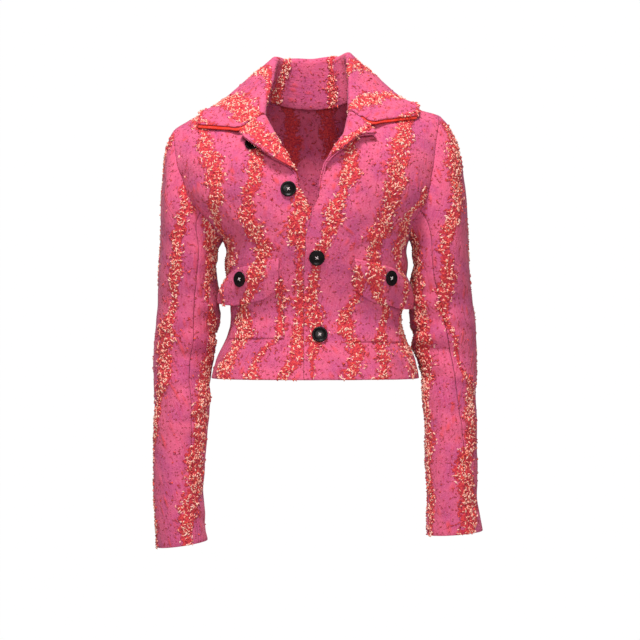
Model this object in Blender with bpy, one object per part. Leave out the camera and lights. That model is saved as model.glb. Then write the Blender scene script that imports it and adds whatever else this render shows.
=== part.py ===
"""A cropped tweed jacket in the form it has when worn, hollow and open at neck, hem and cuffs.

Metres, +Z up, the front towards -Y. The origin is between the shoulders, at the base of the neck.
Sides are the wearer's: right is -X, left is +X. Every cloth piece is a thin sheet worked out from the
sections below and given its thickness at the end, so that neighbours share their seam lines.
"""

import math

import bpy
import numpy as np
from mathutils import Vector
from mathutils.bvhtree import BVHTree

WALL = 0.0024
SEAM_GAP = 0.0003
MOST_MITRE = 0.5
LAYER = WALL + SEAM_GAP
SIDES = {"right": -1, "left": 1}

# How finely the sheets are divided
LOW_ROWS = 12
HIGH_ROWS = 12
FRONT_COLUMNS = 8
BACK_NECK_COLUMNS = 6
FOLD_COLUMNS = 5
LAPEL_COLUMNS = 3
HEAD_RINGS = 6
ARM_RINGS = 17
RING_POINTS = 2 * HIGH_ROWS
COLLAR_ROWS = 20
STAND_COLUMNS = 2
FALL_COLUMNS = 6

# The torso's shape
HEM_Z = -0.386
TORSO_POWER = 2.35
SHOULDER_FALL = 0.11
SHOULDER_SHARPNESS = 0.7
NECK_BACK_Z = 0.012

# Turned edges
FOLD_RADIUS = 0.0025
COLLAR_FOLD_RADIUS = 0.0038
FULL_TURN_LAPEL = 0.010
FIRST_LAPEL_ROW = 3
GORGE_ROW = 9
UNDER_LAP = 0.0032
FELT_SHOWN = 0.005

# Sleeve seams, counted in ring points from the outer side round the front
FRONT_SEAM = 8
BACK_SEAM = 17
SEAM_REST_TURN = 30

BUTTON_RADIUS = 0.0113
BUTTON_THICKNESS = 0.0034

COLOURS = {
    "tweed": ((0.62, 0.10, 0.24), 0.9),
    "felt": ((0.85, 0.09, 0.02), 0.95),
    "button": ((0.012, 0.012, 0.014), 0.3),
}


def table(columns, *rows):
    """A short table, as one array for each named column."""
    return dict(zip(columns.split(), np.array(rows, float).T))


# Half widths of each side and the depths in front of and behind the shoulder plane
TORSO = table(
    "z right left front back",
    (-0.390, 0.1460, 0.1550, 0.119, 0.112),
    (-0.352, 0.1350, 0.1460, 0.108, 0.104),
    (-0.320, 0.1205, 0.1320, 0.100, 0.096),
    (-0.290, 0.1175, 0.1290, 0.098, 0.092),
    (-0.250, 0.1205, 0.1345, 0.104, 0.095),
    (-0.218, 0.1250, 0.1380, 0.112, 0.100),
    (-0.186, 0.1290, 0.1395, 0.118, 0.105),
    (-0.160, 0.1560, 0.1590, 0.120, 0.108),
    (-0.130, 0.1820, 0.1780, 0.117, 0.110),
    (-0.100, 0.2000, 0.1900, 0.112, 0.109),
    (-0.060, 0.2160, 0.2020, 0.103, 0.105),
    (-0.020, 0.2260, 0.2120, 0.094, 0.098),
    (0.050, 0.2350, 0.2200, 0.080, 0.080),
)

# The height of the shoulder seams, and of the ridge that they would make across the neck
SHOULDER = table(
    "x z",
    (-0.2300, -0.0420),
    (-0.1985, -0.0260),
    (-0.1780, -0.0130),
    (-0.1500, -0.0035),
    (-0.1100, 0.0085),
    (-0.0715, 0.0200),
    (-0.0400, 0.0340),
    (0.0000, 0.0500),
    (0.0400, 0.0370),
    (0.0700, 0.0240),
    (0.1100, 0.0145),
    (0.1500, 0.0045),
    (0.1840, -0.0060),
    (0.2200, -0.0205),
)

# The armhole seam from the underarm (share 0) to the shoulder tip (share 1)
ARMHOLE = table(
    "share x_right x_left y_front y_back z_right z_left",
    (0.00, 0.1290, 0.1395, 0.000, 0.000, -0.1860, -0.1840),
    (0.14, 0.1345, 0.1425, -0.028, 0.030, -0.1765, -0.1725),
    (0.26, 0.1470, 0.1480, -0.045, 0.050, -0.1600, -0.1560),
    (0.36, 0.1630, 0.1575, -0.052, 0.060, -0.1435, -0.1405),
    (0.56, 0.1826, 0.1695, -0.051, 0.062, -0.1040, -0.1000),
    (0.80, 0.1955, 0.1775, -0.036, 0.046, -0.0590, -0.0480),
    (0.93, 0.1985, 0.1830, -0.018, 0.022, -0.0335, -0.0160),
    (1.00, 0.1985, 0.1840, 0.000, 0.000, -0.0260, -0.0060),
)

# The inner edge of each front below the armhole: the buttoning edge
FRONT_EDGE_LOW = {"right": 0.030, "left": -0.0118}

# The inner edge above: the buttoning edge, the roll line to the gorge, then the neckline.
# lapel is how far the turned part reaches from the roll line, and drop how far its edge hangs lower.
FRONT_EDGE = {
    "right": table(
        "z x lapel drop",
        (-0.1860, 0.0290, 0.000, 0.000),
        (-0.1650, 0.0160, 0.000, 0.000),
        (-0.1430, -0.0010, 0.000, 0.000),
        (-0.1126, -0.0190, 0.0016, 0.000),
        (-0.0940, -0.0275, 0.004, 0.000),
        (-0.0770, -0.0365, 0.018, 0.001),
        (-0.0610, -0.0460, 0.0290, 0.003),
        (-0.0460, -0.0545, 0.0360, 0.0075),
        (-0.0310, -0.0620, 0.0335, 0.0150),
        (-0.0164, -0.0695, 0.0265, 0.0230),
        (-0.0060, -0.0715, 0.000, 0.000),
        (0.0080, -0.0720, 0.000, 0.000),
        (0.0200, -0.0715, 0.000, 0.000),
    ),
    "left": table(
        "z x lapel drop",
        (-0.1840, -0.0085, 0.000, 0.000),
        (-0.1600, -0.0020, 0.000, 0.000),
        (-0.1376, 0.0050, 0.000, 0.000),
        (-0.1194, 0.0125, 0.001, 0.000),
        (-0.0928, 0.0195, 0.003, 0.000),
        (-0.0770, 0.0275, 0.0085, 0.000),
        (-0.0612, 0.0360, 0.0140, 0.000),
        (-0.0480, 0.0450, 0.0225, 0.000),
        (-0.0375, 0.0510, 0.0372, 0.0065),
        (-0.0121, 0.0563, 0.0215, 0.0190),
        (-0.0010, 0.0630, 0.000, 0.000),
        (0.0120, 0.0690, 0.000, 0.000),
        (0.0240, 0.0700, 0.000, 0.000),
    ),
}
LAPEL_RISE = {"right": 0.0030, "left": 0.0025}

# Level rings down the arm: centre, half sizes, the front seam's turn inwards in degrees, and how much
# lower the outer edge hangs
SLEEVE = {
    "right": table(
        "z x y half_x half_y turn tilt",
        (-0.205, -0.1786, 0.004, 0.0406, 0.062, 25, 0.000),
        (-0.245, -0.1795, 0.006, 0.0425, 0.058, 20, 0.000),
        (-0.287, -0.1790, 0.009, 0.0440, 0.056, 14, 0.000),
        (-0.330, -0.1829, 0.011, 0.0450, 0.055, 17, 0.000),
        (-0.375, -0.1878, 0.009, 0.0410, 0.053, 19, 0.001),
        (-0.425, -0.1884, 0.001, 0.0390, 0.050, 25, 0.002),
        (-0.475, -0.1906, -0.006, 0.0370, 0.046, 30, 0.004),
        (-0.525, -0.1915, -0.013, 0.0352, 0.044, 36, 0.006),
        (-0.575, -0.1905, -0.018, 0.0345, 0.043, 46, 0.008),
        (-0.605, -0.1885, -0.020, 0.0340, 0.043, 48, 0.010),
        (-0.624, -0.1868, -0.021, 0.0348, 0.0435, 48, 0.010),
    ),
    "left": table(
        "z x y half_x half_y turn tilt",
        (-0.205, 0.1862, 0.004, 0.0394, 0.062, 22, 0.000),
        (-0.245, 0.1856, 0.006, 0.0430, 0.058, 13, 0.000),
        (-0.287, 0.1885, 0.009, 0.0450, 0.055, 3, 0.000),
        (-0.330, 0.1910, 0.011, 0.0464, 0.055, -5, 0.000),
        (-0.375, 0.1970, 0.009, 0.0406, 0.053, -9, -0.001),
        (-0.425, 0.2000, 0.001, 0.0377, 0.050, -16, -0.003),
        (-0.475, 0.2012, -0.006, 0.0366, 0.046, -24, -0.005),
        (-0.525, 0.2019, -0.013, 0.0359, 0.044, -28, -0.008),
        (-0.575, 0.2027, -0.018, 0.0359, 0.043, -30, -0.009),
        (-0.595, 0.2048, -0.020, 0.0378, 0.043, -30, -0.007),
        (-0.608, 0.2057, -0.021, 0.0387, 0.0435, -30, -0.006),
    ),
}
SHOULDER_SLOPE = {"right": 40, "left": 36}
SHOULDER_PULL = {"right": 0.14, "left": 0.24}
UNDERARM_SLOPE = 50
UNDERARM_PULL = 0.36

# The largest soft folds of the sleeves: height, place round the arm (0 outer, 90 front, 180 inner,
# 270 back, in degrees), how much it climbs over 90 degrees, its reach round, half width and depth
SLEEVE_FOLDS = {
    "right": table(
        "z place climb reach width depth",
        (-0.250, 150, 0.030, 80, 0.013, 0.0035),
        (-0.300, 120, -0.020, 70, 0.012, 0.0030),
        (-0.335, 160, 0.022, 75, 0.013, 0.0045),
        (-0.372, 110, -0.018, 80, 0.012, 0.0035),
        (-0.420, 60, 0.022, 70, 0.014, 0.0030),
        (-0.560, 200, -0.025, 80, 0.014, 0.0025),
    ),
    "left": table(
        "z place climb reach width depth",
        (-0.240, 160, 0.028, 80, 0.013, 0.0035),
        (-0.292, 100, -0.022, 75, 0.012, 0.0035),
        (-0.328, 170, 0.020, 75, 0.013, 0.0045),
        (-0.362, 130, -0.020, 80, 0.012, 0.0040),
        (-0.410, 70, 0.018, 70, 0.014, 0.0030),
        (-0.545, 210, 0.025, 80, 0.014, 0.0025),
    ),
}

# The largest soft folds of the torso, where they run slanting across a panel
TORSO_FOLDS = table(
    "face x z slope length width depth",
    (1, -0.070, -0.300, 0.35, 0.050, 0.012, 0.0028),
    (1, 0.085, -0.305, -0.40, 0.050, 0.012, 0.0028),
    (1, -0.095, -0.150, -1.10, 0.050, 0.013, 0.0025),
    (1, 0.100, -0.150, 1.10, 0.050, 0.013, 0.0025),
    (-1, -0.060, -0.285, 0.30, 0.060, 0.014, 0.0030),
    (-1, 0.065, -0.300, -0.25, 0.060, 0.014, 0.0030),
    (-1, 0.095, -0.130, 1.20, 0.060, 0.014, 0.0030),
    (-1, -0.095, -0.135, -1.20, 0.060, 0.014, 0.0030),
)

# From the front edge (along 0) to the middle of the back (along 1): the top of the collar's stand, and
# its outer edge
COLLAR = {
    "right": table(
        "along roll_x roll_y roll_z edge_x edge_y edge_z",
        (0.00, -0.0695, -0.0620, -0.0150, -0.1620, -0.039, -0.0295),
        (0.15, -0.0690, -0.0440, 0.0060, -0.1600, -0.014, -0.0100),
        (0.30, -0.0595, -0.0180, 0.0400, -0.1510, 0.012, -0.0010),
        (0.44, -0.0550, 0.0040, 0.0640, -0.1400, 0.036, 0.0030),
        (0.70, -0.0380, 0.0420, 0.0740, -0.0950, 0.082, 0.0040),
        (1.00, 0.0000, 0.0560, 0.0760, 0.0000, 0.106, 0.0060),
    ),
    "left": table(
        "along roll_x roll_y roll_z edge_x edge_y edge_z",
        (0.00, 0.0563, -0.0620, -0.0107, 0.1500, -0.037, -0.0140),
        (0.15, 0.0560, -0.0440, 0.0080, 0.1525, -0.014, -0.0005),
        (0.30, 0.0550, -0.0180, 0.0440, 0.1460, 0.012, 0.0070),
        (0.44, 0.0530, 0.0040, 0.0700, 0.1370, 0.036, 0.0090),
        (0.70, 0.0380, 0.0420, 0.0780, 0.0940, 0.082, 0.0080),
        (1.00, 0.0000, 0.0560, 0.0760, 0.0000, 0.106, 0.0060),
    ),
}
NOTCH_SHARE = 0.30
COLLAR_CROWN = 0.004
COLLAR_LIFT = 0.0016
GORGE_GAP = 0.0016
FALL_CLEARANCE = 0.0064
POCKET_CLEARANCE = 0.0033

# Patch pockets and their flaps, by distance along the cloth from the middle of the front
POCKET = {
    "right": table(
        "down inner outer inner_z outer_z",
        (0.0, -0.0430, -0.1400, -0.2270, -0.2510),
        (1.0, -0.0385, -0.1360, -0.3280, -0.3300),
    ),
    "left": table(
        "down inner outer inner_z outer_z",
        (0.0, 0.0610, 0.1560, -0.2280, -0.2500),
        (1.0, 0.0570, 0.1520, -0.3330, -0.3350),
    ),
}
FLAP = {
    "right": table(
        "across along top bottom rise",
        (0.00, -0.0450, -0.2140, -0.2575, 0.0010),
        (0.12, -0.0570, -0.2160, -0.2660, 0.0010),
        (0.45, -0.0900, -0.2230, -0.2770, 0.0020),
        (0.75, -0.1220, -0.2300, -0.2810, 0.0080),
        (1.00, -0.1490, -0.2380, -0.2770, 0.0150),
    ),
    "left": table(
        "across along top bottom rise",
        (0.00, 0.0600, -0.2150, -0.2590, 0.0010),
        (0.12, 0.0720, -0.2170, -0.2680, 0.0010),
        (0.45, 0.1060, -0.2240, -0.2790, 0.0020),
        (0.75, 0.1380, -0.2310, -0.2860, 0.0060),
        (1.00, 0.1660, -0.2380, -0.2850, 0.0120),
    ),
}

# Where each button is sewn: on a front, at x and z, over so many layers of cloth
BUTTONS = {
    "button_waist": ("left", 0.0072, -0.2140),
    "button_hem": ("left", 0.0112, -0.3222),
    "button_chest": ("right", -0.0325, -0.1185),
    "button_lapel": ("right", -0.0828, -0.0535),
}
# How far across and down its flap each flap button is sewn
FLAP_BUTTONS = {"right": (0.565, 0.31), "left": (0.515, 0.28)}


def through(at, knots, values):
    """The smooth curve through the values at the knots, read at one place or at many."""
    knots = np.asarray(knots, float)
    values = np.asarray(values, float)
    slopes = np.gradient(values, knots, axis=0)
    at = np.clip(np.asarray(at, float), knots[0], knots[-1])
    index = np.clip(np.searchsorted(knots, at, side="right") - 1, 0, len(knots) - 2)
    span = knots[index + 1] - knots[index]
    share = (at - knots[index]) / span
    if values.ndim > 1:
        span = span[..., None]
        share = share[..., None]
    left = values[index] + slopes[index] * span * share
    right = values[index + 1] - slopes[index + 1] * span * (1 - share)
    ease = share * share * (3 - 2 * share)
    return left + (right - left) * ease


def smooth(value):
    value = np.clip(value, 0, 1)
    return value * value * (3 - 2 * value)


def unit(vectors):
    vectors = np.asarray(vectors, float)
    length = np.linalg.norm(vectors, axis=-1, keepdims=True)
    return vectors / np.maximum(length, 1e-9)


def torso_folds(x, z, face):
    """How far the soft folds press the torso in at a point."""
    pressed = np.zeros(np.broadcast(x, z).shape)
    for i in np.flatnonzero(TORSO_FOLDS["face"] == face):
        fold = {name: column[i] for name, column in TORSO_FOLDS.items()}
        direction = unit([1, fold["slope"]])
        dx = x - fold["x"]
        dz = z - fold["z"]
        along = (dx * direction[0] + dz * direction[1]) / fold["length"]
        across = (dz * direction[0] - dx * direction[1]) / fold["width"]
        pressed = pressed + fold["depth"] * np.exp(-along * along - across * across)
    return pressed


def torso_y(x, z, face):
    """The y of the torso's cloth at x and z: face is 1 for the front and -1 for the back."""
    x = np.asarray(x, float)
    z = np.asarray(z, float)
    width = np.where(x < 0, through(z, TORSO["z"], TORSO["right"]), through(z, TORSO["z"], TORSO["left"]))
    reach = through(z, TORSO["z"], TORSO["front" if face > 0 else "back"])
    roundness = (1 - np.clip(np.abs(x) / width, 0, 1) ** TORSO_POWER) ** (1 / TORSO_POWER)
    ridge = through(x, SHOULDER["x"], SHOULDER["z"])
    below = np.clip((ridge - z) / SHOULDER_FALL, 0, 1) ** SHOULDER_SHARPNESS
    depth = reach * roundness * np.sin(math.pi / 2 * below)
    return -face * (depth - torso_folds(x, z, face) * smooth(depth / 0.04))


def on_torso(x, z, face=1):
    return np.stack(np.broadcast_arrays(x, torso_y(x, z, face), z), axis=-1)


def torso_normal(x, z, face=1):
    """The outward direction of the torso's cloth."""
    step = 0.0005
    slope_x = (torso_y(x + step, z, face) - torso_y(x - step, z, face)) / (2 * step)
    slope_z = (torso_y(x, z + step, face) - torso_y(x, z - step, face)) / (2 * step)
    return face * unit(np.stack([slope_x, -np.ones_like(slope_x), slope_z], axis=-1))


def seam_point(side, face, row):
    """A point on the side seam, or above it on the armhole. Rows may be fractions."""
    name = "y_front" if face > 0 else "y_back"
    share = np.clip((row - LOW_ROWS) / HIGH_ROWS, 0, 1)
    high = through(
        share,
        ARMHOLE["share"],
        np.stack([SIDES[side] * ARMHOLE["x_" + side], ARMHOLE[name], ARMHOLE["z_" + side]], axis=-1),
    )
    armpit = ARMHOLE["z_" + side][0]
    z = HEM_Z + (armpit - HEM_Z) * min(row / LOW_ROWS, 1)
    low = np.array([SIDES[side] * through(z, TORSO["z"], TORSO[side]), 0, z])
    return high if row > LOW_ROWS else low


def edge_values(side, row):
    """x, z, lapel and drop of a front's inner edge at a row."""
    edge = FRONT_EDGE[side]
    rows = np.arange(HIGH_ROWS + 1)
    if row >= LOW_ROWS:
        return [float(through(row - LOW_ROWS, rows, edge[name])) for name in ("x", "z", "lapel", "drop")]
    share = row / LOW_ROWS
    x = FRONT_EDGE_LOW[side] + (edge["x"][0] - FRONT_EDGE_LOW[side]) * smooth(share * 3 - 2)
    return [float(x), HEM_Z + (edge["z"][0] - HEM_Z) * share, 0.0, 0.0]


def lap_depth(side, x, z):
    """How far the right front dives under the left."""
    if side == "left":
        return np.zeros_like(x)
    return UNDER_LAP * smooth((x + 0.045) / 0.028) * smooth((-0.118 - z) / 0.035)


def front_row(side, row):
    """One row of a front, from the side seam or armhole to its inner edge."""
    seam = seam_point(side, 1, row)
    edge_x, edge_z, _, _ = edge_values(side, row)
    high = max(0.0, (row - LOW_ROWS) / HIGH_ROWS)
    share = np.linspace(0, 1, FRONT_COLUMNS + 1)
    eased = (1 - np.cos(math.pi * share)) / 2
    eased = eased + (share - eased) * high
    x = seam[0] + (edge_x - seam[0]) * eased
    z = seam[2] + (edge_z - seam[2]) * eased
    tip = seam_point(side, 1, LOW_ROWS + HIGH_ROWS)
    neck_x, neck_z, _, _ = edge_values(side, LOW_ROWS + HIGH_ROWS)
    ridge = through(tip[0] + (neck_x - tip[0]) * share, SHOULDER["x"], SHOULDER["z"])
    z = z + high**3 * (ridge - (tip[2] + (neck_z - tip[2]) * share))
    points = on_torso(x, z)
    points[:, 1] += (seam[1] - points[0, 1]) * (1 - eased) ** 3
    points[:, 1] += lap_depth(side, x, z)
    return points


def turned_edge(side, row, points):
    """The fold at a row's inner edge and the lapel beyond it. Where there is none, the points coincide."""
    _, _, lapel, drop = edge_values(side, row)
    columns = FOLD_COLUMNS + LAPEL_COLUMNS
    edge = points[-1]
    if lapel <= 0:
        return np.repeat(edge[None], columns, axis=0)
    outward = torso_normal(edge[0:1], edge[2:3])[0]
    away = np.array([SIDES[side] * lapel, 0, -drop])
    target = on_torso(edge[0] + away[0], edge[2] + away[2])
    opening = unit(edge - target - outward * np.dot(edge - target, outward))
    angle = math.pi * min(1, lapel / FULL_TURN_LAPEL)
    turns = np.linspace(0, angle, FOLD_COLUMNS + 1)[1:, None]
    fold = edge + FOLD_RADIUS * (outward + np.sin(turns) * opening - np.cos(turns) * outward)
    if angle < math.pi:
        return np.concatenate([fold, np.repeat(fold[-1:], LAPEL_COLUMNS, axis=0)])
    share = np.linspace(0, 1, LAPEL_COLUMNS + 1)[1:]
    x = edge[0] + away[0] * share
    z = edge[2] + away[2] * share
    rise = 2 * FOLD_RADIUS + LAPEL_RISE[side] * smooth(share * 1.6)
    tail = on_torso(x, z) + torso_normal(x, z) * rise[:, None]
    return np.concatenate([fold, tail])


def front_sheet(side):
    """A whole front: rows from hem to shoulder, columns from the seam to the lapel's edge."""
    rows = []
    for row in range(LOW_ROWS + HIGH_ROWS + 1):
        points = front_row(side, row)
        rows.append(np.concatenate([points, turned_edge(side, row, points)]))
    return np.array(rows)


def back_sheet():
    """The back: rows from hem to shoulders, columns from the right seam to the left one."""
    columns = 2 * FRONT_COLUMNS + BACK_NECK_COLUMNS
    share = np.linspace(0, 1, columns + 1)
    top = LOW_ROWS + HIGH_ROWS
    tips = [seam_point(side, -1, top) for side in SIDES]
    necks = [edge_values(side, top)[:2] for side in SIDES]
    knots = np.array([0, FRONT_COLUMNS, FRONT_COLUMNS + BACK_NECK_COLUMNS, columns]) / columns
    top_x = np.interp(share, knots, [tips[0][0], necks[0][0], necks[1][0], tips[1][0]])
    spread_high = (top_x - tips[0][0]) / (tips[1][0] - tips[0][0])
    spread_low = (1 - np.cos(math.pi * share)) / 2
    neck_z = np.where(top_x < 0, necks[0][1], necks[1][1])
    neck_x = np.where(top_x < 0, necks[0][0], necks[1][0])
    inner = np.clip(top_x / neck_x, 0, 1)
    dip = NECK_BACK_Z + (neck_z - NECK_BACK_Z) * inner**2
    ridge = through(top_x, SHOULDER["x"], SHOULDER["z"])
    top_z = np.where(inner < 0.999, dip, ridge)
    line_z = tips[0][2] + (tips[1][2] - tips[0][2]) * spread_high
    rows = []
    for row in range(top + 1):
        ends = [seam_point(side, -1, row) for side in SIDES]
        high = max(0.0, (row - LOW_ROWS) / HIGH_ROWS)
        spread = spread_low + (spread_high - spread_low) * high
        x = ends[0][0] + (ends[1][0] - ends[0][0]) * spread
        z = ends[0][2] + (ends[1][2] - ends[0][2]) * spread + high**1.5 * (top_z - line_z)
        points = on_torso(x, z, -1)
        for end, fade in ((0, 1 - 2 * spread), (-1, 2 * spread - 1)):
            points[:, 1] += (ends[end][1] - points[end, 1]) * np.clip(fade, 0, 1) ** 3
        rows.append(points)
    return np.array(rows)


def sleeve_ring(side, z):
    """A level ring of a sleeve and its outward directions, from the outer side round the front."""
    values = {name: through(-z, -SLEEVE[side]["z"], SLEEVE[side][name]) for name in SLEEVE[side]}
    twist = values["turn"] - SEAM_REST_TURN
    angle = np.radians(np.arange(RING_POINTS) * 360 / RING_POINTS + twist)
    outer = SIDES[side] * np.cos(angle)
    out = unit(np.stack([outer / values["half_x"], -np.sin(angle) / values["half_y"], 0 * angle], axis=-1))
    points = np.stack(
        [
            values["x"] + values["half_x"] * outer,
            values["y"] - values["half_y"] * np.sin(angle),
            z - values["tilt"] / 2 * np.cos(angle),
        ],
        axis=-1,
    )
    folds = SLEEVE_FOLDS[side]
    for i in range(len(folds["z"])):
        around = (np.degrees(angle) - folds["place"][i] + 180) % 360 - 180
        height = (z - folds["z"][i] - folds["climb"][i] * around / 90) / folds["width"][i]
        pressed = folds["depth"][i] * np.exp(-height * height - (around / folds["reach"][i]) ** 2)
        points -= out * pressed[:, None]
    return points


def sleeve_sheet(side):
    """A whole sleeve: rings from the armhole to the cuff."""
    top = LOW_ROWS + HIGH_ROWS
    front = [seam_point(side, 1, top - k) for k in range(HIGH_ROWS)]
    under = [seam_point(side, 1, LOW_ROWS)]
    back = [seam_point(side, -1, LOW_ROWS + k) for k in range(1, HIGH_ROWS)]
    hole = np.array(front + under + back)
    heights = -SLEEVE[side]["z"]
    first = sleeve_ring(side, -heights[0])
    angle = np.arange(RING_POINTS) * 2 * math.pi / RING_POINTS
    down = (1 - np.cos(angle)) / 2
    slope = np.radians(SHOULDER_SLOPE[side] + (UNDERARM_SLOPE - SHOULDER_SLOPE[side]) * smooth(down * 1.6))
    leave = np.stack(
        [SIDES[side] * np.cos(slope), -0.25 * np.sin(angle) * np.cos(slope / 2), -np.sin(slope)], axis=-1
    )
    pull = SHOULDER_PULL[side] + (UNDERARM_PULL - SHOULDER_PULL[side]) * smooth(down * 3)
    pull = pull[:, None] * np.linalg.norm(first - hole, axis=1, keepdims=True)
    near = hole + unit(leave) * pull
    far = first + np.array([0, 0, 1]) * pull
    rings = []
    for t in np.linspace(0, 1, HEAD_RINGS + 1)[:-1]:
        rings.append(
            hole * (1 - t) ** 3 + near * 3 * t * (1 - t) ** 2 + far * 3 * t * t * (1 - t) + first * t**3
        )
    for z in np.linspace(-heights[0], -heights[-1], ARM_RINGS + 1):
        rings.append(sleeve_ring(side, z))
    return np.array(rings)


def grid_faces(rows, columns, wraps=False, flip=False):
    """Triangles between neighbouring points of a grid, every square cut along the same diagonal."""
    faces = []
    for i in range(rows - 1):
        for j in range(columns if wraps else columns - 1):
            k = (j + 1) % columns
            low, next_low = i * columns + j, i * columns + k
            high, next_high = low + columns, next_low + columns
            for face in ((low, next_low, next_high), (low, next_high, high)):
                faces.append(face[::-1] if flip else face)
    return faces


def together(points):
    """For each point, the number of the place that it shares with the points that lie on it."""
    _, index = np.unique(np.round(points * 1e6).astype(np.int64), axis=0, return_inverse=True)
    return index.reshape(-1)


def vertex_normals(points, faces):
    """Outward directions, and how much each is stretched so that the wall keeps its thickness."""
    places = together(points)
    faces = np.array(faces)
    corners = points[faces]
    cross = np.cross(corners[:, 1] - corners[:, 0], corners[:, 2] - corners[:, 0])
    real = np.linalg.norm(cross, axis=1) > 1e-12
    cross, faces = cross[real], faces[real]
    summed = np.zeros((places.max() + 1, 3))
    facing = np.zeros(len(summed))
    count = np.zeros(len(summed))
    for k in range(3):
        np.add.at(summed, places[faces[:, k]], cross)
    normals = unit(summed)
    for k in range(3):
        index = places[faces[:, k]]
        np.add.at(facing, index, np.sum(unit(cross) * normals[index], axis=1))
        np.add.at(count, index, 1)
    stretch = 1 / np.clip(facing / np.maximum(count, 1), 0.7, 1)
    return normals[places], stretch[places]


def mitred(points, group_normals):
    """The directions midway between those of groups of pieces, where they meet at a seam."""
    places = together(points)
    of_group = np.zeros((len(group_normals), places.max() + 1, 3))
    for number, (part, normals) in enumerate(group_normals):
        of_group[number, places[part]] = normals
    middle = unit(of_group.sum(axis=0))
    facing = np.ones(len(middle))
    for directions in of_group:
        there = np.linalg.norm(directions, axis=1) > 0.5
        facing[there] = np.sum(directions[there] * middle[there], axis=1)
    stretch = 1 / np.clip(facing, MOST_MITRE, 1)
    return middle[places], stretch[places]


def merged(points, faces, *more):
    """The sheet with points that lie together made one and collapsed faces dropped."""
    _, first, index = np.unique(
        np.round(points * 1e6).astype(np.int64), axis=0, return_index=True, return_inverse=True
    )
    index = index.reshape(-1)
    kept = []
    for face in faces:
        corners = []
        for corner in index[list(face)]:
            if corner not in corners:
                corners.append(corner)
        if len(corners) > 2:
            kept.append(corners)
    return (points[first], kept) + tuple(values[first] for values in more)


def thickened(points, faces, normals, stretch):
    """A closed wall about a sheet, its edges drawn in by half a seam's gap."""
    points, faces, normals, stretch = merged(points, faces, normals, stretch)
    used = sorted({corner for face in faces for corner in face})
    renumbered = {old: new for new, old in enumerate(used)}
    faces = [[renumbered[corner] for corner in face] for face in faces]
    points, normals, stretch = points[used], normals[used], stretch[used]
    edges = {}
    for face in faces:
        for a, b in zip(face, face[1:] + face[:1]):
            edges[(a, b)] = face
    border = [edge for edge in edges if edge[::-1] not in edges]
    inward = np.zeros_like(points)
    for a, b in border:
        ring = points[edges[(a, b)]]
        flat = unit(np.cross(ring[1] - ring[0], ring[2] - ring[0]))
        towards = np.cross(flat, unit(points[b] - points[a]))
        inward[a] += towards
        inward[b] += towards
    shared = np.round(points, 6)
    points = points + unit(inward) * SEAM_GAP / 2
    half = normals * stretch[:, None] * WALL / 2
    count = len(points)
    walls = [list(face) for face in faces]
    walls += [[corner + count for corner in reversed(face)] for face in faces]
    for a, b in border:
        if tuple(shared[a]) < tuple(shared[b]):
            walls += [[b, a, b + count], [a, a + count, b + count]]
        else:
            walls += [[b, a, a + count], [b, a + count, b + count]]
    return np.concatenate([points + half, points - half]), walls


def material(name):
    """A plain material in the cloth's or button's colour."""
    found = bpy.data.materials.get(name)
    if found:
        return found
    made = bpy.data.materials.new(name)
    made.use_nodes = True
    shader = made.node_tree.nodes["Principled BSDF"]
    colour, roughness = COLOURS[name]
    shader.inputs["Base Color"].default_value = (*colour, 1)
    shader.inputs["Roughness"].default_value = roughness
    shader.inputs["Metallic"].default_value = 0
    return made


def add_object(name, points, faces, finish, angle=40):
    mesh = bpy.data.meshes.new(name)
    mesh.from_pydata([tuple(map(float, point)) for point in points], [], faces)
    mesh.validate()
    mesh.update()
    mesh.shade_smooth()
    mesh.set_sharp_from_angle(angle=math.radians(angle))
    mesh.materials.append(material(finish))
    made = bpy.data.objects.new(name, mesh)
    bpy.context.scene.collection.objects.link(made)
    return made


def add_cloth(name, sheet, faces, normals, stretch, finish="tweed"):
    return add_object(name, *thickened(sheet.reshape(-1, 3), faces, normals, stretch), finish)


def in_columns(faces, columns, first, last):
    """The faces of a grid whose columns lie from first to last."""
    return [face for face in faces if all(first <= corner % columns <= last for corner in face)]


def torso_and_sleeves():
    """The sheets that share seams, with directions averaged over the seams."""
    sheets = {"back": back_sheet()}
    faces = {"back": grid_faces(*sheets["back"].shape[:2], flip=True)}
    for side, sign in SIDES.items():
        name = "front_" + side
        sheets[name] = front_sheet(side)
        rows, columns = sheets[name].shape[:2]
        found = grid_faces(rows, columns, flip=sign > 0)
        gorge = LOW_ROWS + GORGE_ROW
        main = FRONT_COLUMNS
        faces[name] = [
            face
            for face in found
            if max(corner // columns for corner in face) <= gorge or max(corner % columns for corner in face) <= main
        ]
        sleeve = "sleeve_" + side
        sheets[sleeve] = sleeve_sheet(side)
        faces[sleeve] = grid_faces(*sheets[sleeve].shape[:2], wraps=True, flip=sign < 0)
    starts = np.cumsum([0] + [sheet.shape[0] * sheet.shape[1] for sheet in sheets.values()])
    parts = {name: slice(*starts[i : i + 2]) for i, name in enumerate(sheets)}
    points = np.concatenate([sheet.reshape(-1, 3) for sheet in sheets.values()])
    groups = []
    stretch = np.ones(len(points))
    for kind in ("torso", "sleeve"):
        names = [name for name in sheets if name.startswith("sleeve") == (kind == "sleeve")]
        part = np.concatenate([np.arange(parts[name].start, parts[name].stop) for name in names])
        joined = [np.array(faces[name]) + parts[name].start for name in names]
        normals, widened = vertex_normals(points, np.concatenate(joined))
        groups.append((part, normals[part]))
        stretch[part] = widened[part]
    normals, mitre = mitred(points, groups)
    stretch = stretch * mitre
    directions = {name: (normals[part], stretch[part]) for name, part in parts.items()}
    return sheets, faces, directions


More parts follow.
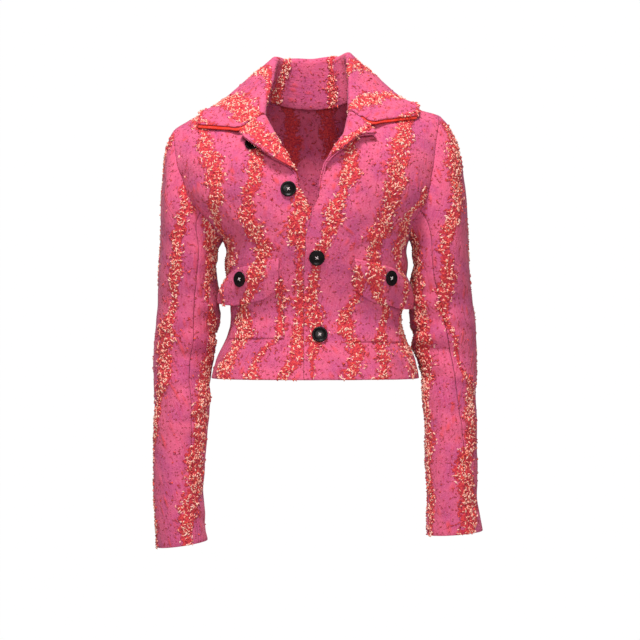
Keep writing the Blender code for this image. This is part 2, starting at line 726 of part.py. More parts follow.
def add_sleeve_pieces(side, sheet, faces, normals, stretch):
    """The top sleeve and the under sleeve."""
    under = []
    top = []
    for face in faces:
        columns = {corner % RING_POINTS for corner in face}
        inside = all(FRONT_SEAM <= column <= BACK_SEAM for column in columns)
        (under if inside else top).append(face)
    add_cloth(f"sleeve_{side}_top", sheet, top, normals, stretch)
    add_cloth(f"sleeve_{side}_under", sheet, under, normals, stretch)


def layer_over(sheet, normals, stretch, rows, columns, height):
    """Part of a sheet moved out along its own directions, so that the two walls stay parallel."""
    normals = normals.reshape(sheet.shape)[rows, columns]
    stretch = stretch.reshape(sheet.shape[:2])[rows, columns]
    moved = sheet[rows, columns] + normals * stretch[..., None] * height
    return moved, normals.reshape(-1, 3), stretch.reshape(-1)


def add_facing(side, sheet, normals, stretch):
    """The facing over the turned lapel, made from the front's own points."""
    rows = slice(LOW_ROWS + FIRST_LAPEL_ROW, LOW_ROWS + GORGE_ROW + 1)
    moved, normals, stretch = layer_over(
        sheet, -normals, stretch, rows, slice(FRONT_COLUMNS - 1, None), LAYER
    )
    faces = grid_faces(*moved.shape[:2], flip=SIDES[side] < 0)
    add_cloth("facing_" + side, moved, faces, normals, stretch)


def surface_tree(sheets, faces):
    """The torso and sleeves without the turned lapels, for resting pieces on."""
    points = []
    polygons = []
    for name, sheet in sheets.items():
        start = len(points)
        columns = sheet.shape[1]
        points += [Vector(point) for point in sheet.reshape(-1, 3)]
        kept = in_columns(faces[name], columns, 0, FRONT_COLUMNS) if name.startswith("front") else faces[name]
        polygons += [[corner + start for corner in face] for face in kept]
    return BVHTree.FromPolygons(points, polygons)


def rested(point, tree, clearance):
    """The point, moved out until it is this far from the cloth that it rests on."""
    near, normal, _, _ = tree.find_nearest(Vector(point))
    offset = Vector(point) - near
    height = offset.dot(normal)
    if height >= clearance or offset.length > 0.03:
        return np.array(point)
    return np.array(Vector(point) + normal * (clearance - height))


def neckline(sheets):
    """The seam that the collar stands on, for each side from the gorge to the middle of the back."""
    lines = {}
    top = LOW_ROWS + HIGH_ROWS
    for side in SIDES:
        front = [sheets["front_" + side][LOW_ROWS + row, FRONT_COLUMNS] for row in range(GORGE_ROW, HIGH_ROWS + 1)]
        back = sheets["back"][top, FRONT_COLUMNS : FRONT_COLUMNS + BACK_NECK_COLUMNS + 1]
        back = back if SIDES[side] < 0 else back[::-1]
        line = np.array(front + list(back[1 : BACK_NECK_COLUMNS // 2 + 1]))
        length = np.concatenate([[0], np.cumsum(np.linalg.norm(np.diff(line, axis=0), axis=1))])
        lines[side] = (length / length[-1], line)
    return lines


def collar_row(side, along, line, tree, gorge):
    """One row across the collar: the stand, the fold and the fall."""
    values = {name: through(along, COLLAR[side]["along"], COLLAR[side][name]) for name in COLLAR[side]}
    roll = np.array([values["roll_x"], values["roll_y"], values["roll_z"]])
    edge = np.array([values["edge_x"], values["edge_y"], values["edge_z"]])
    front = 1 - smooth(along / 0.22)
    seam = through(along, *line)
    stand = unit(roll - seam)
    foot = seam + stand * COLLAR_LIFT
    roll = roll + (gorge["edge"] - roll) * front
    foot = foot + (gorge["edge"] - foot) * front
    up = unit(stand * (1 - front) + gorge["opening"] * front)
    radius = COLLAR_FOLD_RADIUS + (FOLD_RADIUS - COLLAR_FOLD_RADIUS) * front
    out = edge - roll
    out = unit(out - up * np.dot(out, up))
    out = unit(out * (1 - front) + gorge["outward"] * front)
    out = unit(out - up * np.dot(out, up))
    angle = math.radians(155 + 25 * front)
    turns = np.linspace(0, angle, FOLD_COLUMNS + 1)[:, None]
    fold = roll + radius * (out * (1 - np.cos(turns)) + up * np.sin(turns))
    share = np.linspace(0, 1, STAND_COLUMNS + 1)[:-1, None]
    standing = foot + (roll - foot) * share
    share = np.linspace(0, 1, FALL_COLUMNS + 1)[1:, None]
    falling = fold[-1] + (edge - fold[-1]) * share
    falling += out * COLLAR_CROWN * 4 * share * (1 - share) * (1 - front)
    if front > 0:
        notch = gorge["notch"]
        bend = np.where(
            share < NOTCH_SHARE,
            fold[-1] + (notch - fold[-1]) * share / NOTCH_SHARE,
            notch + (edge - notch) * (share - NOTCH_SHARE) / (1 - NOTCH_SHARE),
        )
        falling = falling + (bend - falling) * front**2
    clearance = FALL_CLEARANCE + (2 * FOLD_RADIUS - FALL_CLEARANCE) * front
    falling = np.array([rested(point, tree, clearance) for point in falling])
    return np.concatenate([standing, fold, falling])


def gorge_of(side, sheet):
    """The top of the turned lapel, which the collar's front edge is sewn to."""
    row = LOW_ROWS + GORGE_ROW
    edge = sheet[row, FRONT_COLUMNS]
    outward = torso_normal(edge[0:1], edge[2:3])[0]
    opening = unit(sheet[row, FRONT_COLUMNS + 3] - sheet[row, FRONT_COLUMNS])
    opening = unit(opening - outward * np.dot(opening, outward))
    lift = np.array([0, 0, GORGE_GAP])
    return {"edge": edge + lift, "outward": outward, "opening": opening, "notch": sheet[row, -1] + lift}


def collar_sheet(sheets, tree):
    """The collar's sheet from the right front edge round the neck to the left one."""
    lines = neckline(sheets)
    rows = []
    for side in SIDES:
        half = []
        gorge = gorge_of(side, sheets["front_" + side])
        for along in np.linspace(0, 1, COLLAR_ROWS // 2 + 1):
            half.append(collar_row(side, along, lines[side], tree, gorge))
        rows += half if SIDES[side] < 0 else half[-2::-1]
    return np.array(rows)


def add_collars(sheets, tree):
    """The felt under collar, and the top collar over it, which leaves a strip of felt at each front edge."""
    under = collar_sheet(sheets, tree)
    faces = grid_faces(*under.shape[:2], flip=True)
    normals, stretch = vertex_normals(under.reshape(-1, 3), faces)
    add_cloth("collar_under", under, faces, normals, stretch, "felt")
    top, normals, stretch = layer_over(under, normals, stretch, slice(None), slice(1, None), LAYER)
    notch_column = STAND_COLUMNS + FOLD_COLUMNS + int(FALL_COLUMNS * NOTCH_SHARE)
    for row, step in ((0, 1), (-1, -1)):
        inner = top[row + step, notch_column:] - top[row, notch_column:]
        lift = normals.reshape(top.shape)[row, notch_column:] * SEAM_GAP
        top[row, notch_column:] += unit(inner) * FELT_SHOWN + lift
    faces = grid_faces(*top.shape[:2], flip=True)
    add_cloth("collar_top", top, faces, normals, stretch)


def along_front(side, distance, z):
    """The x on a front's level section that lies this far along the cloth from the middle."""
    limit = through(z, TORSO["z"], TORSO[side])
    x = SIDES[side] * limit * np.sin(np.linspace(0, math.pi / 2, 60)) * 0.9995
    points = on_torso(x, np.full_like(x, z))
    length = np.concatenate([[0], np.cumsum(np.linalg.norm(np.diff(points, axis=0), axis=1))])
    return float(np.interp(abs(distance), length, x))


def laid_on_front(side, distance, z, height):
    """A point over a front, its outward height measured from the front's own sheet."""
    x = along_front(side, distance, z)
    spot = (np.array([x]), np.array([z]))
    return on_torso(*spot)[0] + torso_normal(*spot)[0] * height


def pocket_sheet(side, rows=6, columns=8):
    values = POCKET[side]
    sheet = []
    for down in np.linspace(0, 1, rows + 1):
        names = ("inner", "outer", "inner_z", "outer_z")
        inner, outer, inner_z, outer_z = (np.interp(down, values["down"], values[name]) for name in names)
        row = []
        for share in np.linspace(0, 1, columns + 1):
            z = inner_z + (outer_z - inner_z) * share
            row.append(laid_on_front(side, inner + (outer - inner) * share, z, POCKET_CLEARANCE))
        sheet.append(row)
    return np.array(sheet)


def flap_sheet(side, rows=4, columns=8):
    values = FLAP[side]
    sheet = []
    for down in np.linspace(0, 1, rows + 1):
        row = []
        for across in np.linspace(0, 1, columns + 1):
            along, top, bottom, rise = (
                float(through(across, values["across"], values[name])) for name in ("along", "top", "bottom", "rise")
            )
            z = top + (bottom - top) * down
            height = LAYER + POCKET_CLEARANCE * smooth(down * 4) + rise * smooth(down * 1.4)
            row.append(laid_on_front(side, along, z, height))
        sheet.append(row)
    return np.array(sheet)


def add_pocket_and_flap(side):
    """The patch pocket, and the flap that is sewn on over its mouth."""
    flip = SIDES[side] < 0
    pocket = pocket_sheet(side)
    faces = grid_faces(*pocket.shape[:2], flip=not flip)
    add_cloth("pocket_" + side, pocket, faces, *vertex_normals(pocket.reshape(-1, 3), faces))
    flap = flap_sheet(side)
    faces = grid_faces(*flap.shape[:2], flip=not flip)
    normals, stretch = vertex_normals(flap.reshape(-1, 3), faces)
    add_cloth("flap_" + side, flap, faces, normals, stretch)
    return flap, normals.reshape(flap.shape)


def button_profile():
    """Radius and height of a button's turned outline, from the middle of its back to that of its face."""
    r = BUTTON_RADIUS
    t = BUTTON_THICKNESS
    return [
        (0.62 * r, 0.00),
        (0.93 * r, 0.22 * t),
        (1.00 * r, 0.55 * t),
        (0.94 * r, 0.90 * t),
        (0.84 * r, 1.00 * t),
        (0.70 * r, 0.82 * t),
        (0.55 * r, 0.68 * t),
    ]


def add_button(name, centre, direction, segments=20):
    """A plain round button with a rounded rim and a dished face."""
    axis = unit(direction)
    level = unit(np.cross([0, 0, 1], axis))
    upright = np.cross(axis, level)
    angles = np.arange(segments) * 2 * math.pi / segments
    around = np.cos(angles)[:, None] * level + np.sin(angles)[:, None] * upright
    points = [centre + around * radius + axis * height for radius, height in button_profile()]
    points = np.concatenate(points)
    rings = len(button_profile())
    faces = [list(face) for face in grid_faces(rings, segments, wraps=True)]
    faces.append(list(range(segments))[::-1])
    faces.append([(rings - 1) * segments + k for k in range(segments)])
    add_object(name, points, faces, "button", angle=50)


def between(grid, across, down):
    """The grid's value at a share across and a share down."""
    row, down = divmod(down * (len(grid) - 1), 1)
    column, across = divmod(across * (grid.shape[1] - 1), 1)
    corners = grid[int(row) : int(row) + 2, int(column) : int(column) + 2]
    upper, lower = corners[:, 0] + (corners[:, 1] - corners[:, 0]) * across
    return upper + (lower - upper) * down


def add_buttons(flaps):
    """The buttons, each seated on the cloth under it."""
    seat = WALL / 2 + SEAM_GAP
    for name, (side, x, z) in BUTTONS.items():
        spot = (np.array([x]), np.array([z]))
        outward = torso_normal(*spot)[0]
        add_button(name, on_torso(*spot)[0] + outward * (seat + 0.0002), outward)
    for side, (flap, normals) in flaps.items():
        outward = unit(between(normals, *FLAP_BUTTONS[side]))
        add_button("button_flap_" + side, between(flap, *FLAP_BUTTONS[side]) + outward * seat, outward)


def clear_scene():
    for thing in list(bpy.data.objects):
        bpy.data.objects.remove(thing, do_unlink=True)


def main():
    clear_scene()
    sheets, faces, directions = torso_and_sleeves()
    add_cloth("back", sheets["back"], faces["back"], *directions["back"])
    for side in SIDES:
        name = "front_" + side
        add_cloth(name, sheets[name], faces[name], *directions[name])
        add_facing(side, sheets[name], *directions[name])
        sleeve = "sleeve_" + side
        add_sleeve_pieces(side, sheets[sleeve], faces[sleeve], *directions[sleeve])
    tree = surface_tree(sheets, faces)
    add_collars(sheets, tree)
    flaps = {side: add_pocket_and_flap(side) for side in SIDES}
    add_buttons(flaps)


main()
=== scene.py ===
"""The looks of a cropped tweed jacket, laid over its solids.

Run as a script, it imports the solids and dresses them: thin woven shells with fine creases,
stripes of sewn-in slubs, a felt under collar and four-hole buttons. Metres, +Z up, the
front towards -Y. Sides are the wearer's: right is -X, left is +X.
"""

import functools
import math
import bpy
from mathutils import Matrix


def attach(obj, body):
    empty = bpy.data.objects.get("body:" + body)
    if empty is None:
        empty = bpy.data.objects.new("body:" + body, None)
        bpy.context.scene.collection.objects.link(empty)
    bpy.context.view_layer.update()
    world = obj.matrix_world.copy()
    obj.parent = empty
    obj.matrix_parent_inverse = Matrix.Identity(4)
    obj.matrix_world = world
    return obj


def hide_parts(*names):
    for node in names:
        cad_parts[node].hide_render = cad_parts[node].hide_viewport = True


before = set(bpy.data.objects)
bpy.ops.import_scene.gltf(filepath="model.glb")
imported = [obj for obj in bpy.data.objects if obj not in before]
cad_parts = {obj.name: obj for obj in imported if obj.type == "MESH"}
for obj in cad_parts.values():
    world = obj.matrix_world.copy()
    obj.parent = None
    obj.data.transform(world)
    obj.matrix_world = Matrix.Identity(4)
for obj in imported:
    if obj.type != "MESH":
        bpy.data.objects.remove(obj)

import types

import bpy
import numpy as np
from bpy.props import FloatProperty, FloatVectorProperty, IntProperty, PointerProperty
from mathutils import Vector
from mathutils.bvhtree import BVHTree

bl_info = {
    "name": "Cropped tweed jacket",
    "version": (1, 0, 0),
    "blender": (4, 5, 0),
    "location": "View3D > Sidebar > Jacket",
    "description": "Dresses the jacket's solids in woven cloth, slubs, felt and buttons",
    "category": "Object",
}

BODY = "root"

# The studio. The camera looks level at the front, with a view so wide where the jacket hangs.
CAMERA_PLACE = (0.0116, -3.3, -0.3016)
SENSOR_WIDTH = 36
VIEW_WIDTH = 0.928
FLOOR_RADIUS = 4
FLOOR_SIDES = 96
BACKDROP_CORNERS = [(-4.5, 6, -2.4), (4.5, 6, -2.4), (4.5, 6, 4.5), (-4.5, 6, 4.5)]
SKY_STRENGTH = 0.24
# The soft lamps: place, breadth in metres and power in watts. Both shine on the jacket's middle.
LAMPS = {"key": ((-0.3, -1.25, 2.2), 0.7, 94), "fill": ((0.3, -3.0, 0.5), 1.0, 33)}
LAMP_TARGET = (0, 0, -0.3)

# How many times finer the cloths are divided than the solids' sections
ROWS_BY = 4
COLUMNS_BY = 4
FOLD_BY = 2

# The stitch line of hem and cuffs: its height above the edge, its half width and its depth
HEM_TURN = 0.022
HEM_LINE = 0.0022
HEM_DEPTH = 0.0005

# How far the lapels bend off the chest, the collar waves, its lower edges reach inside the neck,
# and the pockets' sewn edges lie below their middles
LAPEL_LIFT = 0.004
COLLAR_SWAY = 0.0007
NECK_LAP = 0.0055
POCKET_SEWN = 0.0011

# That reach in the neck, counted in fine rows from the collar's middle: the row where it has ended
# and how many rows it fades over, then the rows that only the top collar reaches on, and their fade
NECK_LAP_END, NECK_LAP_FADE = 27, 8
TOP_LAP_ALONE, TOP_LAP_FADE = 9, 4

# Depths of the cloth's broad and narrow waves
BROAD_WAVE = 0.0006
NARROW_WAVE = 0.00022

# The share of the torso's half width that its directions are read in: beyond, it turns too sharply
SIDE_LIMIT = 0.96
# How little forwards a part of the torso may face, for distances across it to be counted so
LEAST_FACING = 0.35

# How the slubs gather on the middles of the stripes, and how many stray off them
STRIPE_SHARPNESS = 1.3
STRAY_SHARE = 0.010

# How a slub's sizes vary: the least share of the usual size, and how much more there may be
SLUB_SPREAD = {
    "slub_length": (0.65, 0.8),
    "slub_radius": (0.7, 0.6),
    "slub_height": (0.35, 0.85),
}

# The number that each piece's slubs are scattered by
SEEDS = {
    "back": 11,
    "front_right": 21,
    "front_left": 22,
    "facing_right": 31,
    "facing_left": 32,
    "sleeve_right_top": 41,
    "sleeve_left_top": 42,
    "sleeve_right_under": 51,
    "sleeve_left_under": 52,
    "collar_top": 61,
    "pocket_right": 71,
    "pocket_left": 72,
    "flap_right": 81,
    "flap_left": 82,
}

# The form of the solids, in the same values as theirs
WALL = 0.0024
SEAM_GAP = 0.0003
LAYER = WALL + SEAM_GAP
SIDES = {"right": -1, "left": 1}

# How finely the sheets are divided
LOW_ROWS = 12
HIGH_ROWS = 12
FRONT_COLUMNS = 8
BACK_NECK_COLUMNS = 6
FOLD_COLUMNS = 5
LAPEL_COLUMNS = 3
HEAD_RINGS = 6
ARM_RINGS = 17
RING_POINTS = 2 * HIGH_ROWS
COLLAR_ROWS = 20
STAND_COLUMNS = 2
FALL_COLUMNS = 6

# The torso's shape
HEM_Z = -0.386
TORSO_POWER = 2.35
SHOULDER_FALL = 0.11
SHOULDER_SHARPNESS = 0.7
NECK_BACK_Z = 0.012
# Soft folds fade where the torso is less deep than this
SHALLOW = 0.04

# Turned edges
FOLD_RADIUS = 0.0025
COLLAR_FOLD_RADIUS = 0.0038
FULL_TURN_LAPEL = 0.010
FIRST_LAPEL_ROW = 3
GORGE_ROW = 9
FELT_SHOWN = 0.005

# How deep the right front dives under the left, from which x and z, and over what way
UNDER_LAP = 0.0032
LAP_X, LAP_Z = -0.045, -0.118
LAP_EASE_X, LAP_EASE_Z = 0.028, 0.035

# Sleeve seams, counted in ring points from the outer side round the front
FRONT_SEAM = 8
BACK_SEAM = 17
SEAM_REST_TURN = 30
# The usual length of cloth round a sleeve
SLEEVE_ROUND = 0.29

# The buttons, how far they stand off the front, and how deep the thread dips into their holes
BUTTON_RADIUS = 0.0113
BUTTON_THICKNESS = 0.0034
BUTTON_SLACK = 0.0002
THREAD_SINK = 0.0009
# Their turned outline from back to face, in shares of the radius and the thickness
BUTTON_OUTLINE = [
    (0.30, 0.00),
    (0.62, 0.00),
    (0.93, 0.22),
    (1.00, 0.55),
    (0.94, 0.90),
    (0.84, 1.00),
    (0.70, 0.82),
    (0.55, 0.68),
    (0.30, 0.60),
]


def table(columns, *rows):
    """A short table, as one array for each named column."""
    return dict(zip(columns.split(), np.array(rows, float).T))


# Half widths of each side and the depths in front of and behind the shoulder plane
TORSO = table(
    "z right left front back",
    (-0.39, 0.146, 0.155, 0.119, 0.112),
    (-0.352, 0.135, 0.146, 0.108, 0.104),
    (-0.32, 0.1205, 0.132, 0.1, 0.096),
    (-0.29, 0.1175, 0.129, 0.098, 0.092),
    (-0.25, 0.1205, 0.1345, 0.104, 0.095),
    (-0.218, 0.125, 0.138, 0.112, 0.1),
    (-0.186, 0.129, 0.1395, 0.118, 0.105),
    (-0.16, 0.156, 0.159, 0.12, 0.108),
    (-0.13, 0.182, 0.178, 0.117, 0.11),
    (-0.1, 0.2, 0.19, 0.112, 0.109),
    (-0.06, 0.216, 0.202, 0.103, 0.105),
    (-0.02, 0.226, 0.212, 0.094, 0.098),
    (0.05, 0.235, 0.22, 0.08, 0.08),
)

# The height of the shoulder seams, and of the ridge that they would make across the neck
SHOULDER = table(
    "x z",
    (-0.23, -0.042),
    (-0.1985, -0.026),
    (-0.178, -0.013),
    (-0.15, -0.0035),
    (-0.11, 0.0085),
    (-0.0715, 0.02),
    (-0.04, 0.034),
    (0, 0.05),
    (0.04, 0.037),
    (0.07, 0.024),
    (0.11, 0.0145),
    (0.15, 0.0045),
    (0.184, -0.006),
    (0.22, -0.0205),
)

# The armhole seam from the underarm (share 0) to the shoulder tip (share 1)
ARMHOLE = table(
    "share x_right x_left y_front y_back z_right z_left",
    (0, 0.129, 0.1395, 0, 0, -0.186, -0.184),
    (0.14, 0.1345, 0.1425, -0.028, 0.03, -0.1765, -0.1725),
    (0.26, 0.147, 0.148, -0.045, 0.05, -0.16, -0.156),
    (0.36, 0.163, 0.1575, -0.052, 0.06, -0.1435, -0.1405),
    (0.56, 0.1826, 0.1695, -0.051, 0.062, -0.104, -0.1),
    (0.8, 0.1955, 0.1775, -0.036, 0.046, -0.059, -0.048),
    (0.93, 0.1985, 0.183, -0.018, 0.022, -0.0335, -0.016),
    (1, 0.1985, 0.184, 0, 0, -0.026, -0.006),
)

# The inner edge of each front below the armhole: the buttoning edge
FRONT_EDGE_LOW = {"right": 0.030, "left": -0.0118}

# The inner edge above: the buttoning edge, the roll line to the gorge, then the neckline. lapel is
# how far the turned part reaches from the roll line, and drop how far its edge hangs lower.
FRONT_EDGE = {
    "right": table(
        "z x lapel drop",
        (-0.186, 0.029, 0, 0),
        (-0.165, 0.016, 0, 0),
        (-0.143, -0.001, 0, 0),
        (-0.1126, -0.019, 0.0016, 0),
        (-0.094, -0.0275, 0.004, 0),
        (-0.077, -0.0365, 0.018, 0.001),
        (-0.061, -0.046, 0.029, 0.003),
        (-0.046, -0.0545, 0.036, 0.0075),
        (-0.031, -0.062, 0.0335, 0.015),
        (-0.0164, -0.0695, 0.0265, 0.023),
        (-0.006, -0.0715, 0, 0),
        (0.008, -0.072, 0, 0),
        (0.02, -0.0715, 0, 0),
    ),
    "left": table(
        "z x lapel drop",
        (-0.184, -0.0085, 0, 0),
        (-0.16, -0.002, 0, 0),
        (-0.1376, 0.005, 0, 0),
        (-0.1194, 0.0125, 0.001, 0),
        (-0.0928, 0.0195, 0.003, 0),
        (-0.077, 0.0275, 0.0085, 0),
        (-0.0612, 0.036, 0.014, 0),
        (-0.048, 0.045, 0.0225, 0),
        (-0.0375, 0.051, 0.0372, 0.0065),
        (-0.0121, 0.0563, 0.0215, 0.019),
        (-0.001, 0.063, 0, 0),
        (0.012, 0.069, 0, 0),
        (0.024, 0.07, 0, 0),
    ),
}
LAPEL_RISE = {"right": 0.0030, "left": 0.0025}

# Level rings down the arm: centre, half sizes, the front seam's turn inwards in degrees, and how
# much lower the outer edge hangs
SLEEVE = {
    "right": table(
        "z x y half_x half_y turn tilt",
        (-0.205, -0.1786, 0.004, 0.0406, 0.062, 25, 0),
        (-0.245, -0.1795, 0.006, 0.0425, 0.058, 20, 0),
        (-0.287, -0.179, 0.009, 0.044, 0.056, 14, 0),
        (-0.33, -0.1829, 0.011, 0.045, 0.055, 17, 0),
        (-0.375, -0.1878, 0.009, 0.041, 0.053, 19, 0.001),
        (-0.425, -0.1884, 0.001, 0.039, 0.05, 25, 0.002),
        (-0.475, -0.1906, -0.006, 0.037, 0.046, 30, 0.004),
        (-0.525, -0.1915, -0.013, 0.0352, 0.044, 36, 0.006),
        (-0.575, -0.1905, -0.018, 0.0345, 0.043, 46, 0.008),
        (-0.605, -0.1885, -0.02, 0.034, 0.043, 48, 0.01),
        (-0.624, -0.1868, -0.021, 0.0348, 0.0435, 48, 0.01),
    ),
    "left": table(
        "z x y half_x half_y turn tilt",
        (-0.205, 0.1862, 0.004, 0.0394, 0.062, 22, 0),
        (-0.245, 0.1856, 0.006, 0.043, 0.058, 13, 0),
        (-0.287, 0.1885, 0.009, 0.045, 0.055, 3, 0),
        (-0.33, 0.191, 0.011, 0.0464, 0.055, -5, 0),
        (-0.375, 0.197, 0.009, 0.0406, 0.053, -9, -0.001),
        (-0.425, 0.2, 0.001, 0.0377, 0.05, -16, -0.003),
        (-0.475, 0.2012, -0.006, 0.0366, 0.046, -24, -0.005),
        (-0.525, 0.2019, -0.013, 0.0359, 0.044, -28, -0.008),
        (-0.575, 0.2027, -0.018, 0.0359, 0.043, -30, -0.009),
        (-0.595, 0.2048, -0.02, 0.0378, 0.043, -30, -0.007),
        (-0.608, 0.2057, -0.021, 0.0387, 0.0435, -30, -0.006),
    ),
}
SHOULDER_SLOPE = {"right": 40, "left": 36}
SHOULDER_PULL = {"right": 0.14, "left": 0.24}
UNDERARM_SLOPE = 50
UNDERARM_PULL = 0.36

# The largest soft folds of the sleeves: height, place round the arm (0 outer, 90 front, 180 inner,
# 270 back, in degrees), how much it climbs over 90 degrees, its reach round, half width and depth
SLEEVE_FOLDS = {
    "right": table(
        "z place climb reach width depth",
        (-0.25, 150, 0.03, 80, 0.013, 0.0035),
        (-0.3, 120, -0.02, 70, 0.012, 0.003),
        (-0.335, 160, 0.022, 75, 0.013, 0.0045),
        (-0.372, 110, -0.018, 80, 0.012, 0.0035),
        (-0.42, 60, 0.022, 70, 0.014, 0.003),
        (-0.56, 200, -0.025, 80, 0.014, 0.0025),
    ),
    "left": table(
        "z place climb reach width depth",
        (-0.24, 160, 0.028, 80, 0.013, 0.0035),
        (-0.292, 100, -0.022, 75, 0.012, 0.0035),
        (-0.328, 170, 0.02, 75, 0.013, 0.0045),
        (-0.362, 130, -0.02, 80, 0.012, 0.004),
        (-0.41, 70, 0.018, 70, 0.014, 0.003),
        (-0.545, 210, 0.025, 80, 0.014, 0.0025),
    ),
}

# The largest soft folds of the torso, where they run slanting across a panel
TORSO_FOLDS = table(
    "face x z slope length width depth",
    (1, -0.07, -0.3, 0.35, 0.05, 0.012, 0.0028),
    (1, 0.085, -0.305, -0.4, 0.05, 0.012, 0.0028),
    (1, -0.095, -0.15, -1.1, 0.05, 0.013, 0.0025),
    (1, 0.1, -0.15, 1.1, 0.05, 0.013, 0.0025),
    (-1, -0.06, -0.285, 0.3, 0.06, 0.014, 0.003),
    (-1, 0.065, -0.3, -0.25, 0.06, 0.014, 0.003),
    (-1, 0.095, -0.13, 1.2, 0.06, 0.014, 0.003),
    (-1, -0.095, -0.135, -1.2, 0.06, 0.014, 0.003),
)

# From the front edge (along 0) to the middle of the back (along 1): the top of the collar's stand,
# and its outer edge
COLLAR = {
    "right": table(
        "along roll_x roll_y roll_z edge_x edge_y edge_z",
        (0, -0.0695, -0.062, -0.015, -0.162, -0.039, -0.0295),
        (0.15, -0.069, -0.044, 0.006, -0.16, -0.014, -0.01),
        (0.3, -0.0595, -0.018, 0.04, -0.151, 0.012, -0.001),
        (0.44, -0.055, 0.004, 0.064, -0.14, 0.036, 0.003),
        (0.7, -0.038, 0.042, 0.074, -0.095, 0.082, 0.004),
        (1, 0, 0.056, 0.076, 0, 0.106, 0.006),
    ),
    "left": table(
        "along roll_x roll_y roll_z edge_x edge_y edge_z",
        (0, 0.0563, -0.062, -0.0107, 0.15, -0.037, -0.014),
        (0.15, 0.056, -0.044, 0.008, 0.1525, -0.014, -0.0005),
        (0.3, 0.055, -0.018, 0.044, 0.146, 0.012, 0.007),
        (0.44, 0.053, 0.004, 0.07, 0.137, 0.036, 0.009),
        (0.7, 0.038, 0.042, 0.078, 0.094, 0.082, 0.008),
        (1, 0, 0.056, 0.076, 0, 0.106, 0.006),
    ),
}

# How far the collar turns over behind the neck, in degrees. At the gorge it turns by half a circle.
COLLAR_TURN = 155
NOTCH_SHARE = 0.30
COLLAR_CROWN = 0.004
COLLAR_LIFT = 0.0016
GORGE_GAP = 0.0016
FALL_CLEARANCE = 0.0064
# Points of the collar further than this from the cloth don't rest on it
REST_REACH = 0.03
POCKET_CLEARANCE = 0.0033

# Patch pockets and their flaps, by distance along the cloth from the middle of the front
POCKET = {
    "right": table(
        "down inner outer inner_z outer_z",
        (0, -0.043, -0.14, -0.227, -0.251),
        (1, -0.0385, -0.136, -0.328, -0.33),
    ),
    "left": table(
        "down inner outer inner_z outer_z",
        (0, 0.061, 0.156, -0.228, -0.25),
        (1, 0.057, 0.152, -0.333, -0.335),
    ),
}

FLAP = {
    "right": table(
        "across along top bottom rise",
        (0, -0.045, -0.214, -0.2575, 0.001),
        (0.12, -0.057, -0.216, -0.266, 0.001),
        (0.45, -0.09, -0.223, -0.277, 0.002),
        (0.75, -0.122, -0.23, -0.281, 0.008),
        (1, -0.149, -0.238, -0.277, 0.015),
    ),
    "left": table(
        "across along top bottom rise",
        (0, 0.06, -0.215, -0.259, 0.001),
        (0.12, 0.072, -0.217, -0.268, 0.001),
        (0.45, 0.106, -0.224, -0.279, 0.002),
        (0.75, 0.138, -0.231, -0.286, 0.006),
        (1, 0.166, -0.238, -0.285, 0.012),
    ),
}

# Where each button of the fronts is sewn, at x and z
BUTTONS = {
    "button_waist": (0.0072, -0.2140),
    "button_hem": (0.0112, -0.3222),
    "button_chest": (-0.0325, -0.1185),
    "button_lapel": (-0.0828, -0.0535),
}

# How far across and down its flap each flap button is sewn, as shares
FLAP_BUTTONS = {"right": (0.565, 0.31), "left": (0.515, 0.28)}

# Finer creases of the torso: 1 front and -1 back, where, slope, half length, half width, depth
TORSO_CREASES = table(
    "face x z slope length width depth",
    (1, -0.108, -0.176, -0.9, 0.035, 0.006, 0.0016),
    (1, -0.085, -0.19, -0.55, 0.03, 0.007, 0.0012),
    (1, -0.06, -0.348, 0.25, 0.045, 0.007, 0.0012),
    (1, -0.03, -0.262, 0.1, 0.03, 0.008, 0.001),
    (1, 0.112, -0.178, 0.95, 0.035, 0.006, 0.0016),
    (1, 0.086, -0.196, 0.6, 0.03, 0.007, 0.0012),
    (1, 0.06, -0.246, -0.3, 0.028, 0.007, 0.0012),
    (1, 0.07, -0.352, -0.25, 0.045, 0.007, 0.0012),
    (1, -0.12, -0.08, -2.2, 0.05, 0.009, 0.0012),
    (1, 0.125, -0.085, 2.2, 0.05, 0.009, 0.0012),
    (-1, -0.02, -0.262, 0.12, 0.055, 0.008, 0.0016),
    (-1, 0.03, -0.318, -0.15, 0.05, 0.008, 0.0014),
    (-1, -0.07, -0.24, 0.45, 0.04, 0.007, 0.0014),
    (-1, 0.08, -0.25, -0.5, 0.04, 0.007, 0.0014),
    (-1, -0.11, -0.17, -1.3, 0.045, 0.007, 0.0016),
    (-1, 0.112, -0.168, 1.3, 0.045, 0.007, 0.0016),
    (-1, -0.05, -0.345, 0.1, 0.05, 0.008, 0.0012),
)

